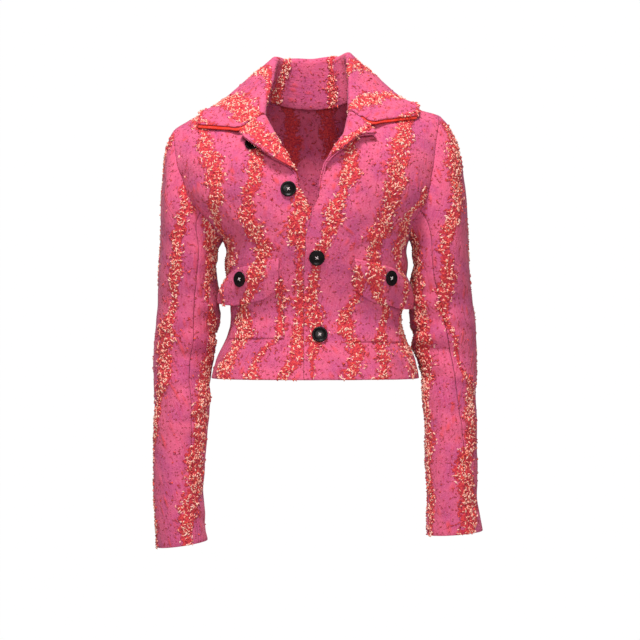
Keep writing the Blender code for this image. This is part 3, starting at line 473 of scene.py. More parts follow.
# Finer creases of the sleeves: height, place round the arm in degrees, climb over 90 degrees, reach
# round, half width, depth
SLEEVE_CREASES = {
    "right": table(
        "z place climb reach width depth",
        (-0.226, 170, 0.02, 55, 0.006, 0.0022),
        (-0.268, 140, -0.016, 50, 0.006, 0.002),
        (-0.283, 190, 0.02, 55, 0.006, 0.0024),
        (-0.316, 100, 0.018, 45, 0.006, 0.0018),
        (-0.322, 185, -0.012, 50, 0.006, 0.0026),
        (-0.35, 130, 0.014, 60, 0.006, 0.0026),
        (-0.358, 215, -0.022, 55, 0.007, 0.0022),
        (-0.388, 150, -0.016, 55, 0.006, 0.0022),
        (-0.402, 80, 0.014, 50, 0.007, 0.0018),
        (-0.44, 130, 0.016, 50, 0.007, 0.0016),
        (-0.472, 100, -0.02, 55, 0.008, 0.0014),
        (-0.52, 120, 0.022, 55, 0.008, 0.0014),
        (-0.585, 130, -0.018, 50, 0.007, 0.0014),
        (-0.34, 290, 0.02, 60, 0.008, 0.002),
        (-0.372, 320, -0.018, 55, 0.008, 0.0018),
    ),
    "left": table(
        "z place climb reach width depth",
        (-0.222, 175, 0.018, 55, 0.006, 0.0022),
        (-0.262, 150, -0.018, 50, 0.006, 0.002),
        (-0.276, 195, 0.022, 55, 0.006, 0.0022),
        (-0.308, 110, 0.016, 50, 0.006, 0.002),
        (-0.318, 190, -0.014, 50, 0.006, 0.0026),
        (-0.344, 140, 0.016, 60, 0.006, 0.0026),
        (-0.352, 215, -0.02, 55, 0.007, 0.0022),
        (-0.38, 160, -0.014, 55, 0.006, 0.0022),
        (-0.396, 90, 0.016, 50, 0.007, 0.0018),
        (-0.432, 140, 0.014, 50, 0.007, 0.0016),
        (-0.465, 110, -0.02, 55, 0.008, 0.0014),
        (-0.512, 130, 0.02, 55, 0.008, 0.0014),
        (-0.572, 140, -0.018, 50, 0.007, 0.0014),
        (-0.335, 290, 0.02, 60, 0.008, 0.002),
        (-0.368, 320, -0.018, 55, 0.008, 0.0018),
    ),
}

# The slub stripes of the torso's panels: heights, and each stripe's middle and half width there, in
# millimetres. OUT where a stripe has ended. One without a half width of its own has the usual one.
OUT = math.nan
USUAL_HALF = 12
STRIPES = {
    "front_right": table(
        "z side side_half middle middle_half edge edge_half hem hem_half",
        (12, -172, 14, OUT, 0, OUT, 0, OUT, 0),
        (-18, -166, 9, -82, 9, OUT, 0, OUT, 0),
        (-40, -152, 8, -78, 10, OUT, 0, OUT, 0),
        (-59, -149, 12, -78, 10, OUT, 0, OUT, 0),
        (-78, -141, 16, -78, 12, OUT, 0, OUT, 0),
        (-97, -139, 17, -79, 9, -10, 2, OUT, 0),
        (-116, -136, 13, -85, 12, -10, 9, OUT, 0),
        (-135, -136, 11, -90, 9, -13, 14, OUT, 0),
        (-154, -136, 7, -89, 12, -17, 16, OUT, 0),
        (-173, -129, 9, -81, 14, -21, 17, OUT, 0),
        (-192, -118, 14, -75, 16, -18, 10, OUT, 0),
        (-211, -116, 17, -68, 16, -16, 3, OUT, 0),
        (-230, -120, 14, -79, 15, -17, 3, OUT, 0),
        (-249, -129, 12, -81, 13, -16, 8, -45, 5),
        (-268, -128, 9, -90, 10, -16, 8, -43, 8),
        (-287, -125, 2, -98, 15, -16, 9, -44, 5),
        (-306, OUT, 0, -98, 19, -16, 8, -44, 9),
        (-325, OUT, 0, -99, 16, -19, 11, -47, 5),
        (-344, OUT, 0, -109, 15, -18, 10, -67, 4),
        (-363, OUT, 0, -122, 18, -28, 10, -80, 7),
        (-386, OUT, 0, -126, 16, -40, 9, -84, 9),
    ),
    "front_left": table(
        "z side side_half middle middle_half hem hem_half edge edge_half",
        (12, OUT, 0, 138, 9, OUT, 0, OUT, 0),
        (-40, OUT, 0, 130, 13, OUT, 0, 58, 9),
        (-59, OUT, 0, 123, 16, OUT, 0, 55, 10),
        (-78, OUT, 0, 121, 17, OUT, 0, 55, 10),
        (-97, OUT, 0, 121, 16, OUT, 0, 52, 15),
        (-116, 160, 6, 117, 15, OUT, 0, 47, 10),
        (-135, 154, 6, 109, 14, OUT, 0, 37, 9),
        (-154, 134, 9, 106, 14, OUT, 0, 29, 14),
        (-173, 133, 13, 98, 18, OUT, 0, 27, 10),
        (-192, 127, 15, 90, 15, OUT, 0, 17, 11),
        (-211, 121, 9, 86, 8, OUT, 0, 10, 6),
        (-230, 126, 10, 92, 17, 64, 5, 5, 5),
        (-249, 133, 7, 91, 14, 65, 8, 3, 10),
        (-268, 132, 7, 93, 9, 64, 7, -1, 8),
        (-287, 128, 4, 105, 8, 50, 6, 2, 11),
        (-306, 126, 7, 100, 7, 47, 12, 4, 13),
        (-325, 129, 13, 98, 9, 50, 9, 7, 15),
        (-344, 135, 14, 99, 11, 63, 14, 3, 9),
        (-363, 142, 9, 101, 9, 59, 11, 1, 2),
        (-386, 144, 9, 96, 10, 51, 9, 0, 1),
    ),
    "back": table(
        "z s1 s2 s3 s4 s5 s6",
        (15, -150, -96, -36, 22, 88, 146),
        (-30, -156, -92, -30, 26, 84, 150),
        (-80, -148, -86, -36, 34, 90, 142),
        (-130, -136, -90, -42, 28, 94, 134),
        (-180, -112, -82, -36, 20, 80, 116),
        (-230, -104, -70, -26, 22, 70, 110),
        (-280, -98, -64, -30, 30, 74, 108),
        (-330, -104, -72, -40, 26, 82, 112),
        (-386, -118, -80, -36, 18, 86, 126),
    ),
    "facing_right": table(
        "z lapel lapel_half",
        (-20, -95, 16),
        (-33, -85, 21),
        (-45, -69, 22),
        (-60, -52, 21),
        (-76, -37, 18),
        (-88, -26, 14),
        (-102, -16, 9),
    ),
    "facing_left": table(
        "z lapel lapel_half",
        (-26, 84, 5),
        (-32, 75, 8),
        (-42, 60, 9),
        (-52, 47, 9),
        (-63, 37, 8),
        (-80, 30, 2),
    ),
}

# The sleeves' stripes: their middles at each height, in degrees round the cloth from its outer
# line, and half widths
SLEEVE_STRIPES = {
    "right": table(
        "z front front_half inner inner_half rim back rear",
        (-10, OUT, 0, OUT, 0, 385, 300, 240),
        (-60, OUT, 0, OUT, 0, 371, 296, 236),
        (-110, 82, 3, 120, 2, 359, 300, 232),
        (-130, 95, 8, 123, 3, 354, 303, 230),
        (-152, 100, 17, 126, 5, 352, 306, 226),
        (-175, 84, 12, 141, 13, 354, 304, 224),
        (-200, 75, 10, 154, 19, 357, 300, 226),
        (-225, 79, 14, 156, 18, 359, 296, 230),
        (-250, 76, 9, 145, 10, 359, 292, 232),
        (-275, 80, 5, 150, 2, 357, 296, 230),
        (-300, 71, 13, 162, 10, 355, 298, 226),
        (-325, 66, 19, 168, 14, 353, 300, 224),
        (-350, 60, 18, 166, 13, 353, 302, 226),
        (-375, 67, 16, 162, 14, 351, 304, 228),
        (-400, 53, 9, 156, 19, 349, 302, 230),
        (-425, 34, 13, 151, 19, 345, 300, 232),
        (-450, 26, 13, 142, 16, 343, 298, 230),
        (-475, 18, 8, 142, 17, 341, 296, 228),
        (-500, 14, 4, 132, 16, 339, 294, 224),
        (-525, OUT, 0, 131, 21, 343, 295, 226),
        (-550, OUT, 0, 121, 22, 347, 298, 230),
        (-575, OUT, 0, 99, 15, 347, 300, 232),
        (-625, OUT, 0, 87, 8, 345, 300, 230),
    ),
    "left": table(
        "z outer outer_half inner inner_half rim back rear",
        (-20, 8, 8, OUT, 0, OUT, 296, 236),
        (-45, 15, 13, OUT, 0, OUT, 298, 238),
        (-70, 24, 20, OUT, 0, OUT, 300, 236),
        (-100, 39, 22, OUT, 0, OUT, 303, 232),
        (-130, 52, 22, 150, 2, OUT, 302, 230),
        (-152, 70, 17, 150, 5, OUT, 300, 232),
        (-175, 84, 13, 153, 9, 362, 296, 236),
        (-200, 92, 10, 163, 15, 360, 292, 240),
        (-225, 91, 13, 162, 18, 360, 294, 242),
        (-250, 100, 15, 165, 19, 362, 298, 240),
        (-275, 113, 11, 165, 15, 366, 304, 236),
        (-300, 118, 6, 169, 13, 372, 303, 232),
        (-325, 108, 3, 169, 20, 376, 302, 230),
        (-350, 108, 3, 182, 20, 380, 301, 236),
        (-375, 102, 4, 191, 19, 382, 300, 244),
        (-400, 82, 11, 200, 15, 378, 298, 250),
        (-425, 89, 15, 205, 13, 374, 296, 254),
        (-450, 96, 13, 208, 13, 370, 294, 256),
        (-475, 101, 14, 205, 15, 368, 295, 256),
        (-500, 118, 15, 213, 13, 366, 297, 258),
        (-525, 120, 18, 216, 10, 368, 299, 260),
        (-550, 115, 19, 212, 9, 372, 300, 258),
        (-575, 113, 18, 213, 9, 374, 300, 258),
        (-625, 134, 12, 220, 9, 376, 300, 260),
    ),
}

# The collar's stripes: shares of its length, from the right end, at its lower edge in the neck and
# at its outer edge, and half widths in millimetres
COLLAR_STRIPES = table(
    "neck outer half",
    (-0.2, 0.03, 6),
    (-0.12, 0.2, 21),
    (0.02, 0.4, 11),
    (0.3, 0.52, 11),
    (0.6, 0.61, 10),
    (0.87, 0.7, 11),
    (1.025, 0.83, 10),
    (1.2, 0.97, 6),
)


def through(at, knots, values):
    """The smooth curve through the values at the knots, read at one place or at many."""
    knots = np.asarray(knots, float)
    values = np.asarray(values, float)
    slopes = np.gradient(values, knots, axis=0)
    at = np.clip(np.asarray(at, float), knots[0], knots[-1])
    index = np.clip(np.searchsorted(knots, at, side="right") - 1, 0, len(knots) - 2)
    span = knots[index + 1] - knots[index]
    share = (at - knots[index]) / span
    if values.ndim > 1:
        span = span[..., None]
        share = share[..., None]
    left = values[index] + slopes[index] * span * share
    right = values[index + 1] - slopes[index + 1] * span * (1 - share)
    ease = share * share * (3 - 2 * share)
    return left + (right - left) * ease


def smooth(value):
    """0 up to 0, 1 from 1, and a soft rise between."""
    value = np.clip(value, 0, 1)
    return value * value * (3 - 2 * value)


def unit(vectors):
    """The same directions with a length of 1."""
    vectors = np.asarray(vectors, float)
    length = np.linalg.norm(vectors, axis=-1, keepdims=True)
    return vectors / np.maximum(length, 1e-9)


def rows_of(values):
    """A table's rows, each with its columns by name."""
    rows = zip(*values.values())
    return [types.SimpleNamespace(**dict(zip(values, row))) for row in rows]


def row_at(values, place):
    """A table's values at a place between its rows. Its first column says where each row is."""
    knots, *columns = values.values()
    return [float(through(place, knots, column)) for column in columns]


def signed(degrees):
    """Angles as the shorter way round, from -180 to 180."""
    return (degrees + 180) % 360 - 180


def lengths_across(grid):
    """Each point's distance along its row, from the row's first point."""
    steps = np.linalg.norm(np.diff(grid, axis=1), axis=2)
    return np.concatenate([np.zeros((len(grid), 1)), np.cumsum(steps, axis=1)], axis=1)


def on_fold(fold, x, z):
    """Where points of the torso lie along and across a slanting fold, in its lengths and widths."""
    direction = unit([1, fold.slope])
    dx = x - fold.x
    dz = z - fold.z
    along = (dx * direction[0] + dz * direction[1]) / fold.length
    return along, (dz * direction[0] - dx * direction[1]) / fold.width


def torso_folds(x, z, face):
    """How far the soft folds press the torso in at a point."""
    pressed = np.zeros(np.broadcast(x, z).shape)
    for fold in rows_of(TORSO_FOLDS):
        if fold.face == face:
            along, across = on_fold(fold, x, z)
            pressed = pressed + fold.depth * np.exp(-along * along - across * across)
    return pressed


def torso_width(x, z):
    """The torso's half width at the heights z, on the side where x lies."""
    right, left = (through(z, TORSO["z"], TORSO[side]) for side in SIDES)
    return np.where(x < 0, right, left)


def torso_y(x, z, face):
    """The y of the torso's cloth at x and z: face is 1 for the front and -1 for the back."""
    x = np.asarray(x, float)
    z = np.asarray(z, float)
    reach = through(z, TORSO["z"], TORSO["front" if face > 0 else "back"])
    outward = np.clip(np.abs(x) / torso_width(x, z), 0, 1)
    roundness = (1 - outward**TORSO_POWER) ** (1 / TORSO_POWER)
    ridge = through(x, SHOULDER["x"], SHOULDER["z"])
    below = np.clip((ridge - z) / SHOULDER_FALL, 0, 1) ** SHOULDER_SHARPNESS
    depth = reach * roundness * np.sin(math.pi / 2 * below)
    return -face * (depth - torso_folds(x, z, face) * smooth(depth / SHALLOW))


def on_torso(x, z, face=1):
    """Points of the torso's cloth at x and z."""
    return np.stack(np.broadcast_arrays(x, torso_y(x, z, face), z), axis=-1)


def torso_normal(x, z, face=1):
    """The outward direction of the torso's cloth."""
    step = 0.0005
    slope_x = (torso_y(x + step, z, face) - torso_y(x - step, z, face)) / (2 * step)
    slope_z = (torso_y(x, z + step, face) - torso_y(x, z - step, face)) / (2 * step)
    return face * unit(np.stack([slope_x, -np.ones_like(slope_x), slope_z], axis=-1))


def panel_normal(x, z, face):
    """The same, but beyond the side limit as it is at that limit."""
    limit = SIDE_LIMIT * torso_width(x, z)
    return torso_normal(np.clip(x, -limit, limit), z, face)


def seam_point(side, face, row):
    """A point on the side seam, or above it on the armhole. Rows may be fractions."""
    name = "y_front" if face > 0 else "y_back"
    share = np.clip((row - LOW_ROWS) / HIGH_ROWS, 0, 1)
    knots = [SIDES[side] * ARMHOLE["x_" + side], ARMHOLE[name], ARMHOLE["z_" + side]]
    high = through(share, ARMHOLE["share"], np.stack(knots, axis=-1))
    armpit = ARMHOLE["z_" + side][0]
    z = HEM_Z + (armpit - HEM_Z) * min(row / LOW_ROWS, 1)
    low = np.array([SIDES[side] * through(z, TORSO["z"], TORSO[side]), 0, z])
    return high if row > LOW_ROWS else low


def edge_values(side, row):
    """x, z, lapel and drop of a front's inner edge at a row."""
    edge = FRONT_EDGE[side]
    rows = np.arange(HIGH_ROWS + 1)
    if row >= LOW_ROWS:
        names = ("x", "z", "lapel", "drop")
        return [float(through(row - LOW_ROWS, rows, edge[name])) for name in names]
    share = row / LOW_ROWS
    x = FRONT_EDGE_LOW[side] + (edge["x"][0] - FRONT_EDGE_LOW[side]) * smooth(share * 3 - 2)
    return [float(x), HEM_Z + (edge["z"][0] - HEM_Z) * share, 0.0, 0.0]


def lap_depth(side, x, z):
    """How far the right front dives under the left."""
    if side == "left":
        return np.zeros_like(x)
    return UNDER_LAP * smooth((x - LAP_X) / LAP_EASE_X) * smooth((LAP_Z - z) / LAP_EASE_Z)


def front_row(side, row):
    """One row of a front, from the side seam or armhole to its inner edge."""
    seam = seam_point(side, 1, row)
    edge_x, edge_z, _, _ = edge_values(side, row)
    high = max(0.0, (row - LOW_ROWS) / HIGH_ROWS)
    share = np.linspace(0, 1, FRONT_COLUMNS + 1)
    eased = (1 - np.cos(math.pi * share)) / 2
    eased = eased + (share - eased) * high
    x = seam[0] + (edge_x - seam[0]) * eased
    z = seam[2] + (edge_z - seam[2]) * eased
    tip = seam_point(side, 1, LOW_ROWS + HIGH_ROWS)
    neck_x, neck_z, _, _ = edge_values(side, LOW_ROWS + HIGH_ROWS)
    ridge = through(tip[0] + (neck_x - tip[0]) * share, SHOULDER["x"], SHOULDER["z"])
    z = z + high**3 * (ridge - (tip[2] + (neck_z - tip[2]) * share))
    points = on_torso(x, z)
    points[:, 1] += (seam[1] - points[0, 1]) * (1 - eased) ** 3
    points[:, 1] += lap_depth(side, x, z)
    return points


def turned_edge(side, row, points):
    """The fold at a row's inner edge and the lapel beyond it, or the same point where none is."""
    _, _, lapel, drop = edge_values(side, row)
    columns = FOLD_COLUMNS + LAPEL_COLUMNS
    edge = points[-1]
    if lapel <= 0:
        return np.repeat(edge[None], columns, axis=0)
    outward = torso_normal(edge[0:1], edge[2:3])[0]
    away = np.array([SIDES[side] * lapel, 0, -drop])
    target = on_torso(edge[0] + away[0], edge[2] + away[2])
    opening = unit(edge - target - outward * np.dot(edge - target, outward))
    angle = math.pi * min(1, lapel / FULL_TURN_LAPEL)
    turns = np.linspace(0, angle, FOLD_COLUMNS + 1)[1:, None]
    fold = edge + FOLD_RADIUS * (outward + np.sin(turns) * opening - np.cos(turns) * outward)
    if angle < math.pi:
        return np.concatenate([fold, np.repeat(fold[-1:], LAPEL_COLUMNS, axis=0)])
    share = np.linspace(0, 1, LAPEL_COLUMNS + 1)[1:]
    x = edge[0] + away[0] * share
    z = edge[2] + away[2] * share
    rise = 2 * FOLD_RADIUS + LAPEL_RISE[side] * smooth(share * 1.6)
    tail = on_torso(x, z) + torso_normal(x, z) * rise[:, None]
    return np.concatenate([fold, tail])


def front_sheet(side):
    """A whole front: rows from hem to shoulder, columns from the seam to the lapel's edge."""
    rows = []
    for row in range(LOW_ROWS + HIGH_ROWS + 1):
        points = front_row(side, row)
        rows.append(np.concatenate([points, turned_edge(side, row, points)]))
    return np.array(rows)


def back_sheet():
    """The back: rows from hem to shoulders, columns from the right seam to the left one."""
    columns = 2 * FRONT_COLUMNS + BACK_NECK_COLUMNS
    share = np.linspace(0, 1, columns + 1)
    top = LOW_ROWS + HIGH_ROWS
    tips = [seam_point(side, -1, top) for side in SIDES]
    necks = [edge_values(side, top)[:2] for side in SIDES]
    knots = np.array([0, FRONT_COLUMNS, FRONT_COLUMNS + BACK_NECK_COLUMNS, columns]) / columns
    top_x = np.interp(share, knots, [tips[0][0], necks[0][0], necks[1][0], tips[1][0]])
    spread_high = (top_x - tips[0][0]) / (tips[1][0] - tips[0][0])
    spread_low = (1 - np.cos(math.pi * share)) / 2
    neck_z = np.where(top_x < 0, necks[0][1], necks[1][1])
    neck_x = np.where(top_x < 0, necks[0][0], necks[1][0])
    inner = np.clip(top_x / neck_x, 0, 1)
    dip = NECK_BACK_Z + (neck_z - NECK_BACK_Z) * inner**2
    ridge = through(top_x, SHOULDER["x"], SHOULDER["z"])
    top_z = np.where(inner < 0.999, dip, ridge)
    line_z = tips[0][2] + (tips[1][2] - tips[0][2]) * spread_high
    rows = []
    for row in range(top + 1):
        ends = [seam_point(side, -1, row) for side in SIDES]
        high = max(0.0, (row - LOW_ROWS) / HIGH_ROWS)
        spread = spread_low + (spread_high - spread_low) * high
        x = ends[0][0] + (ends[1][0] - ends[0][0]) * spread
        z = ends[0][2] + (ends[1][2] - ends[0][2]) * spread + high**1.5 * (top_z - line_z)
        points = on_torso(x, z, -1)
        for end, fade in ((0, 1 - 2 * spread), (-1, 2 * spread - 1)):
            points[:, 1] += (ends[end][1] - points[end, 1]) * np.clip(fade, 0, 1) ** 3
        rows.append(points)
    return np.array(rows)


def sleeve_ring(side, z):
    """A level ring of a sleeve, from the outer side round the front."""
    values = {name: through(-z, -SLEEVE[side]["z"], SLEEVE[side][name]) for name in SLEEVE[side]}
    twist = values["turn"] - SEAM_REST_TURN
    angle = np.radians(np.arange(RING_POINTS) * 360 / RING_POINTS + twist)
    outer = SIDES[side] * np.cos(angle)
    out_y = -np.sin(angle) / values["half_y"]
    out = unit(np.stack([outer / values["half_x"], out_y, 0 * angle], axis=-1))
    points = np.stack(
        [
            values["x"] + values["half_x"] * outer,
            values["y"] - values["half_y"] * np.sin(angle),
            z - values["tilt"] / 2 * np.cos(angle),
        ],
        axis=-1,
    )
    for fold in rows_of(SLEEVE_FOLDS[side]):
        around = signed(np.degrees(angle) - fold.place)
        height = (z - fold.z - fold.climb * around / 90) / fold.width
        pressed = fold.depth * np.exp(-height * height - (around / fold.reach) ** 2)
        points -= out * pressed[:, None]
    return points


def sleeve_sheet(side):
    """A whole sleeve: rings from the armhole to the cuff."""
    top = LOW_ROWS + HIGH_ROWS
    front = [seam_point(side, 1, top - k) for k in range(HIGH_ROWS)]
    under = [seam_point(side, 1, LOW_ROWS)]
    back = [seam_point(side, -1, LOW_ROWS + k) for k in range(1, HIGH_ROWS)]
    hole = np.array(front + under + back)
    heights = -SLEEVE[side]["z"]
    first = sleeve_ring(side, -heights[0])
    angle = np.arange(RING_POINTS) * 2 * math.pi / RING_POINTS
    down = (1 - np.cos(angle)) / 2
    steeper = UNDERARM_SLOPE - SHOULDER_SLOPE[side]
    slope = np.radians(SHOULDER_SLOPE[side] + steeper * smooth(down * 1.6))
    leave_y = -0.25 * np.sin(angle) * np.cos(slope / 2)
    leave = np.stack([SIDES[side] * np.cos(slope), leave_y, -np.sin(slope)], axis=-1)
    pull = SHOULDER_PULL[side] + (UNDERARM_PULL - SHOULDER_PULL[side]) * smooth(down * 3)
    pull = pull[:, None] * np.linalg.norm(first - hole, axis=1, keepdims=True)
    near = hole + unit(leave) * pull
    far = first + np.array([0, 0, 1]) * pull
    rings = []
    for t in np.linspace(0, 1, HEAD_RINGS + 1)[:-1]:
        u = 1 - t
        rings.append(hole * u**3 + near * 3 * t * u**2 + far * 3 * t * t * u + first * t**3)
    for z in np.linspace(-heights[0], -heights[-1], ARM_RINGS + 1):
        rings.append(sleeve_ring(side, z))
    return np.array(rings)


def quads(rows, columns, flip=False):
    """The faces of a grid."""
    low = (np.arange(rows - 1)[:, None] * columns + np.arange(columns - 1)).reshape(-1)
    faces = np.stack([low, low + 1, low + columns + 1, low + columns], axis=1)
    return faces[:, ::-1] if flip else faces


def together(points):
    """For each point, the number of the place that it shares with the points that lie on it."""
    _, index = np.unique(np.round(points * 1e6).astype(np.int64), axis=0, return_inverse=True)
    return index.reshape(-1)


def surface_tree(sheets):
    """The torso and sleeves without the turned lapels, for resting pieces on."""
    points = []
    triangles = []
    for name, sheet in sheets.items():
        if name.startswith("front"):
            sheet = sheet[:, : FRONT_COLUMNS + 1]
        if name.startswith("sleeve"):
            sheet = np.concatenate([sheet, sheet[:, :1]], axis=1)
        flip = name in ("back", "front_left", "sleeve_right")
        for a, b, c, d in (quads(*sheet.shape[:2]) + len(points)).tolist():
            triangles += [(c, b, a), (d, c, a)] if flip else [(a, b, c), (a, c, d)]
        points += [Vector(point) for point in sheet.reshape(-1, 3)]
    return BVHTree.FromPolygons(points, triangles)


def rested(point, tree, clearance):
    """The point, moved out until it is this far from the cloth that it rests on."""
    near, normal, _, _ = tree.find_nearest(Vector(point))
    offset = Vector(point) - near
    height = offset.dot(normal)
    if height >= clearance or offset.length > REST_REACH:
        return np.array(point)
    return np.array(Vector(point) + normal * (clearance - height))


def neckline(sheets):
    """The seam that the collar stands on: each side's half, from the gorge to the back's middle."""
    lines = {}
    top = LOW_ROWS + HIGH_ROWS
    for side in SIDES:
        front = sheets["front_" + side][LOW_ROWS + GORGE_ROW : top + 1, FRONT_COLUMNS]
        back = sheets["back"][top, FRONT_COLUMNS : FRONT_COLUMNS + BACK_NECK_COLUMNS + 1]
        back = back if SIDES[side] < 0 else back[::-1]
        line = np.concatenate([front, back[1 : BACK_NECK_COLUMNS // 2 + 1]])
        length = lengths_across(line[None])[0]
        lines[side] = (length / length[-1], line)
    return lines


def collar_row(side, along, line, tree, gorge):
    """One row across the collar: the stand, the fold and the fall."""
    roll, edge = np.array(row_at(COLLAR[side], along)).reshape(2, 3)
    front = 1 - smooth(along / 0.22)
    seam = through(along, *line)
    stand = unit(roll - seam)
    foot = seam + stand * COLLAR_LIFT
    roll = roll + (gorge["edge"] - roll) * front
    foot = foot + (gorge["edge"] - foot) * front
    up = unit(stand * (1 - front) + gorge["opening"] * front)
    radius = COLLAR_FOLD_RADIUS + (FOLD_RADIUS - COLLAR_FOLD_RADIUS) * front
    out = edge - roll
    out = unit(out - up * np.dot(out, up))
    out = unit(out * (1 - front) + gorge["outward"] * front)
    out = unit(out - up * np.dot(out, up))
    angle = math.radians(COLLAR_TURN + (180 - COLLAR_TURN) * front)
    turns = np.linspace(0, angle, FOLD_COLUMNS + 1)[:, None]
    fold = roll + radius * (out * (1 - np.cos(turns)) + up * np.sin(turns))
    share = np.linspace(0, 1, STAND_COLUMNS + 1)[:-1, None]
    standing = foot + (roll - foot) * share
    share = np.linspace(0, 1, FALL_COLUMNS + 1)[1:, None]
    falling = fold[-1] + (edge - fold[-1]) * share
    falling += out * COLLAR_CROWN * 4 * share * (1 - share) * (1 - front)
    if front > 0:
        notch = gorge["notch"]
        bend = np.where(
            share < NOTCH_SHARE,
            fold[-1] + (notch - fold[-1]) * share / NOTCH_SHARE,
            notch + (edge - notch) * (share - NOTCH_SHARE) / (1 - NOTCH_SHARE),
        )
        falling = falling + (bend - falling) * front**2
    clearance = FALL_CLEARANCE + (2 * FOLD_RADIUS - FALL_CLEARANCE) * front
    falling = np.array([rested(point, tree, clearance) for point in falling])
    return np.concatenate([standing, fold, falling])


def gorge_of(sheet):
    """The top of a front's turned lapel, which the collar's front edge is sewn to."""
    row = LOW_ROWS + GORGE_ROW
    edge = sheet[row, FRONT_COLUMNS]
    outward = torso_normal(edge[0:1], edge[2:3])[0]
    opening = unit(sheet[row, FRONT_COLUMNS + 3] - edge)
    opening = unit(opening - outward * np.dot(opening, outward))
    lift = np.array([0, 0, GORGE_GAP])
    notch = sheet[row, -1] + lift
    return {"edge": edge + lift, "outward": outward, "opening": opening, "notch": notch}


def collar_sheet(sheets, tree):
    """The collar's sheet from the right front edge round the neck to the left one."""
    lines = neckline(sheets)
    rows = []
    for side in SIDES:
        half = []
        gorge = gorge_of(sheets["front_" + side])
        for along in np.linspace(0, 1, COLLAR_ROWS // 2 + 1):
            half.append(collar_row(side, along, lines[side], tree, gorge))
        rows += half if SIDES[side] < 0 else half[-2::-1]
    return np.array(rows)


def over_torso(x, z, height):
    """A point so high over the torso's front, and the outward direction there."""
    spot = (np.array([x]), np.array([z]))
    outward = torso_normal(*spot)[0]
    return on_torso(*spot)[0] + outward * height, outward


def laid_on_front(side, distance, z, height):
    """A point over a front, so far along its level section from the middle."""
    limit = through(z, TORSO["z"], TORSO[side])
    x = SIDES[side] * limit * np.sin(np.linspace(0, math.pi / 2, 60)) * 0.9995
    lengths = lengths_across(on_torso(x, np.full_like(x, z))[None])[0]
    return over_torso(float(np.interp(abs(distance), lengths, x)), z, height)[0]


def pocket_sheet(side, rows=6, columns=8):
    """A patch pocket laid on its front."""
    sheet = []
    for down in np.linspace(0, 1, rows + 1):
        inner, outer, inner_z, outer_z = row_at(POCKET[side], down)
        row = []
        for share in np.linspace(0, 1, columns + 1):
            z = inner_z + (outer_z - inner_z) * share
            row.append(laid_on_front(side, inner + (outer - inner) * share, z, POCKET_CLEARANCE))
        sheet.append(row)
    return np.array(sheet)


def flap_sheet(side, rows=4, columns=8):
    """A pocket's flap, which rises off its front towards its lower edge."""
    sheet = []
    for down in np.linspace(0, 1, rows + 1):
        row = []
        for across in np.linspace(0, 1, columns + 1):
            along, top, bottom, rise = row_at(FLAP[side], across)
            z = top + (bottom - top) * down
            height = LAYER + POCKET_CLEARANCE * smooth(down * 4) + rise * smooth(down * 1.4)
            row.append(laid_on_front(side, along, z, height))
        sheet.append(row)
    return np.array(sheet)


def between(grid, across, down):
    """The grid's value at a share across and a share down."""
    row, down = divmod(down * (len(grid) - 1), 1)
    column, across = divmod(across * (grid.shape[1] - 1), 1)
    corners = grid[int(row) : int(row) + 2, int(column) : int(column) + 2]
    upper, lower = corners[:, 0] + (corners[:, 1] - corners[:, 0]) * across
    return upper + (lower - upper) * down


def refined(grid, rows_by, sections):
    """The grid with more points, on smooth curves through its own.

    sections say how finely its columns are divided: the first, the last and how many times.
    """
    rows, columns = grid.shape[:2]
    places = np.linspace(0, rows - 1, (rows - 1) * rows_by + 1)
    tall = through(places, np.arange(rows), grid.reshape(rows, -1))
    tall = tall.reshape(-1, columns, 3).transpose(1, 0, 2).reshape(columns, -1)
    strips = []
    for first, last, times in sections:
        places = np.linspace(first, last, (last - first) * times + 1)
        strip = through(places, np.arange(first, last + 1), tall[first : last + 1])
        strips.append(strip if not strips else strip[1:])
    return np.concatenate(strips).reshape(-1, (rows - 1) * rows_by + 1, 3).transpose(1, 0, 2)


def refined_ring(grid, rows_by, times):
    """The same for a grid whose columns close on themselves: the first comes again at the end."""
    columns = grid.shape[1]
    wide = np.concatenate([grid[:, -2:], grid, grid[:, :3]], axis=1)
    fine = refined(wide, rows_by, [(0, columns + 4, times)])
    return fine[:, 2 * times : (columns + 2) * times + 1]


def outward_directions(grid, flip, cells=None):
    """The directions that a grid's points face. Points that lie together share one."""
    rows, columns = grid.shape[:2]
    points = grid.reshape(-1, 3)
    places = together(points)
    faces = quads(rows, columns, flip)
    if cells is not None:
        faces = faces[cells.reshape(-1)]
    corners = points[faces]
    cross = np.cross(corners[:, 2] - corners[:, 0], corners[:, 3] - corners[:, 1])
    summed = np.zeros((places.max() + 1, 3))
    for k in range(4):
        np.add.at(summed, places[faces[:, k]], cross)
    return unit(summed)[places].reshape(grid.shape)


class Cloth:
    """A sheet of cloth as a fine grid, with the directions that it faces and where its stripes run.

    cells is False where the grid has a square that the cloth hasn't.
    """

    def __init__(self, grid, flip, stripe=None, normals=None, cells=None):
        self.grid = grid
        self.flip = flip
        self.cells = np.ones((len(grid) - 1, grid.shape[1] - 1), bool) if cells is None else cells
        self.normals = outward_directions(grid, flip, self.cells) if normals is None else normals
        self.stripe = np.zeros(grid.shape[:2]) if stripe is None else stripe
        self.across = lengths_across(grid)
        self.down = lengths_across(grid.transpose(1, 0, 2)).T

    def areas(self):
        """The area of each of the grid's squares."""
        across = self.grid[:-1, 1:] - self.grid[:-1, :-1]
        down = self.grid[1:, :-1] - self.grid[:-1, :-1]
        return np.linalg.norm(np.cross(across, down), axis=2) * self.cells

    def part(self, columns, rows=slice(None)):
        """A piece cut from this cloth."""
        cut = (rows, columns)
        return Cloth(self.grid[cut], self.flip, self.stripe[cut], self.normals[cut])

    def over(self, height, flip=False):
        """A layer on this one's outer side, or with flip on its inner side and facing inwards."""
        normals = -self.normals if flip else self.normals
        return Cloth(self.grid + normals * height, self.flip != flip, self.stripe, normals)


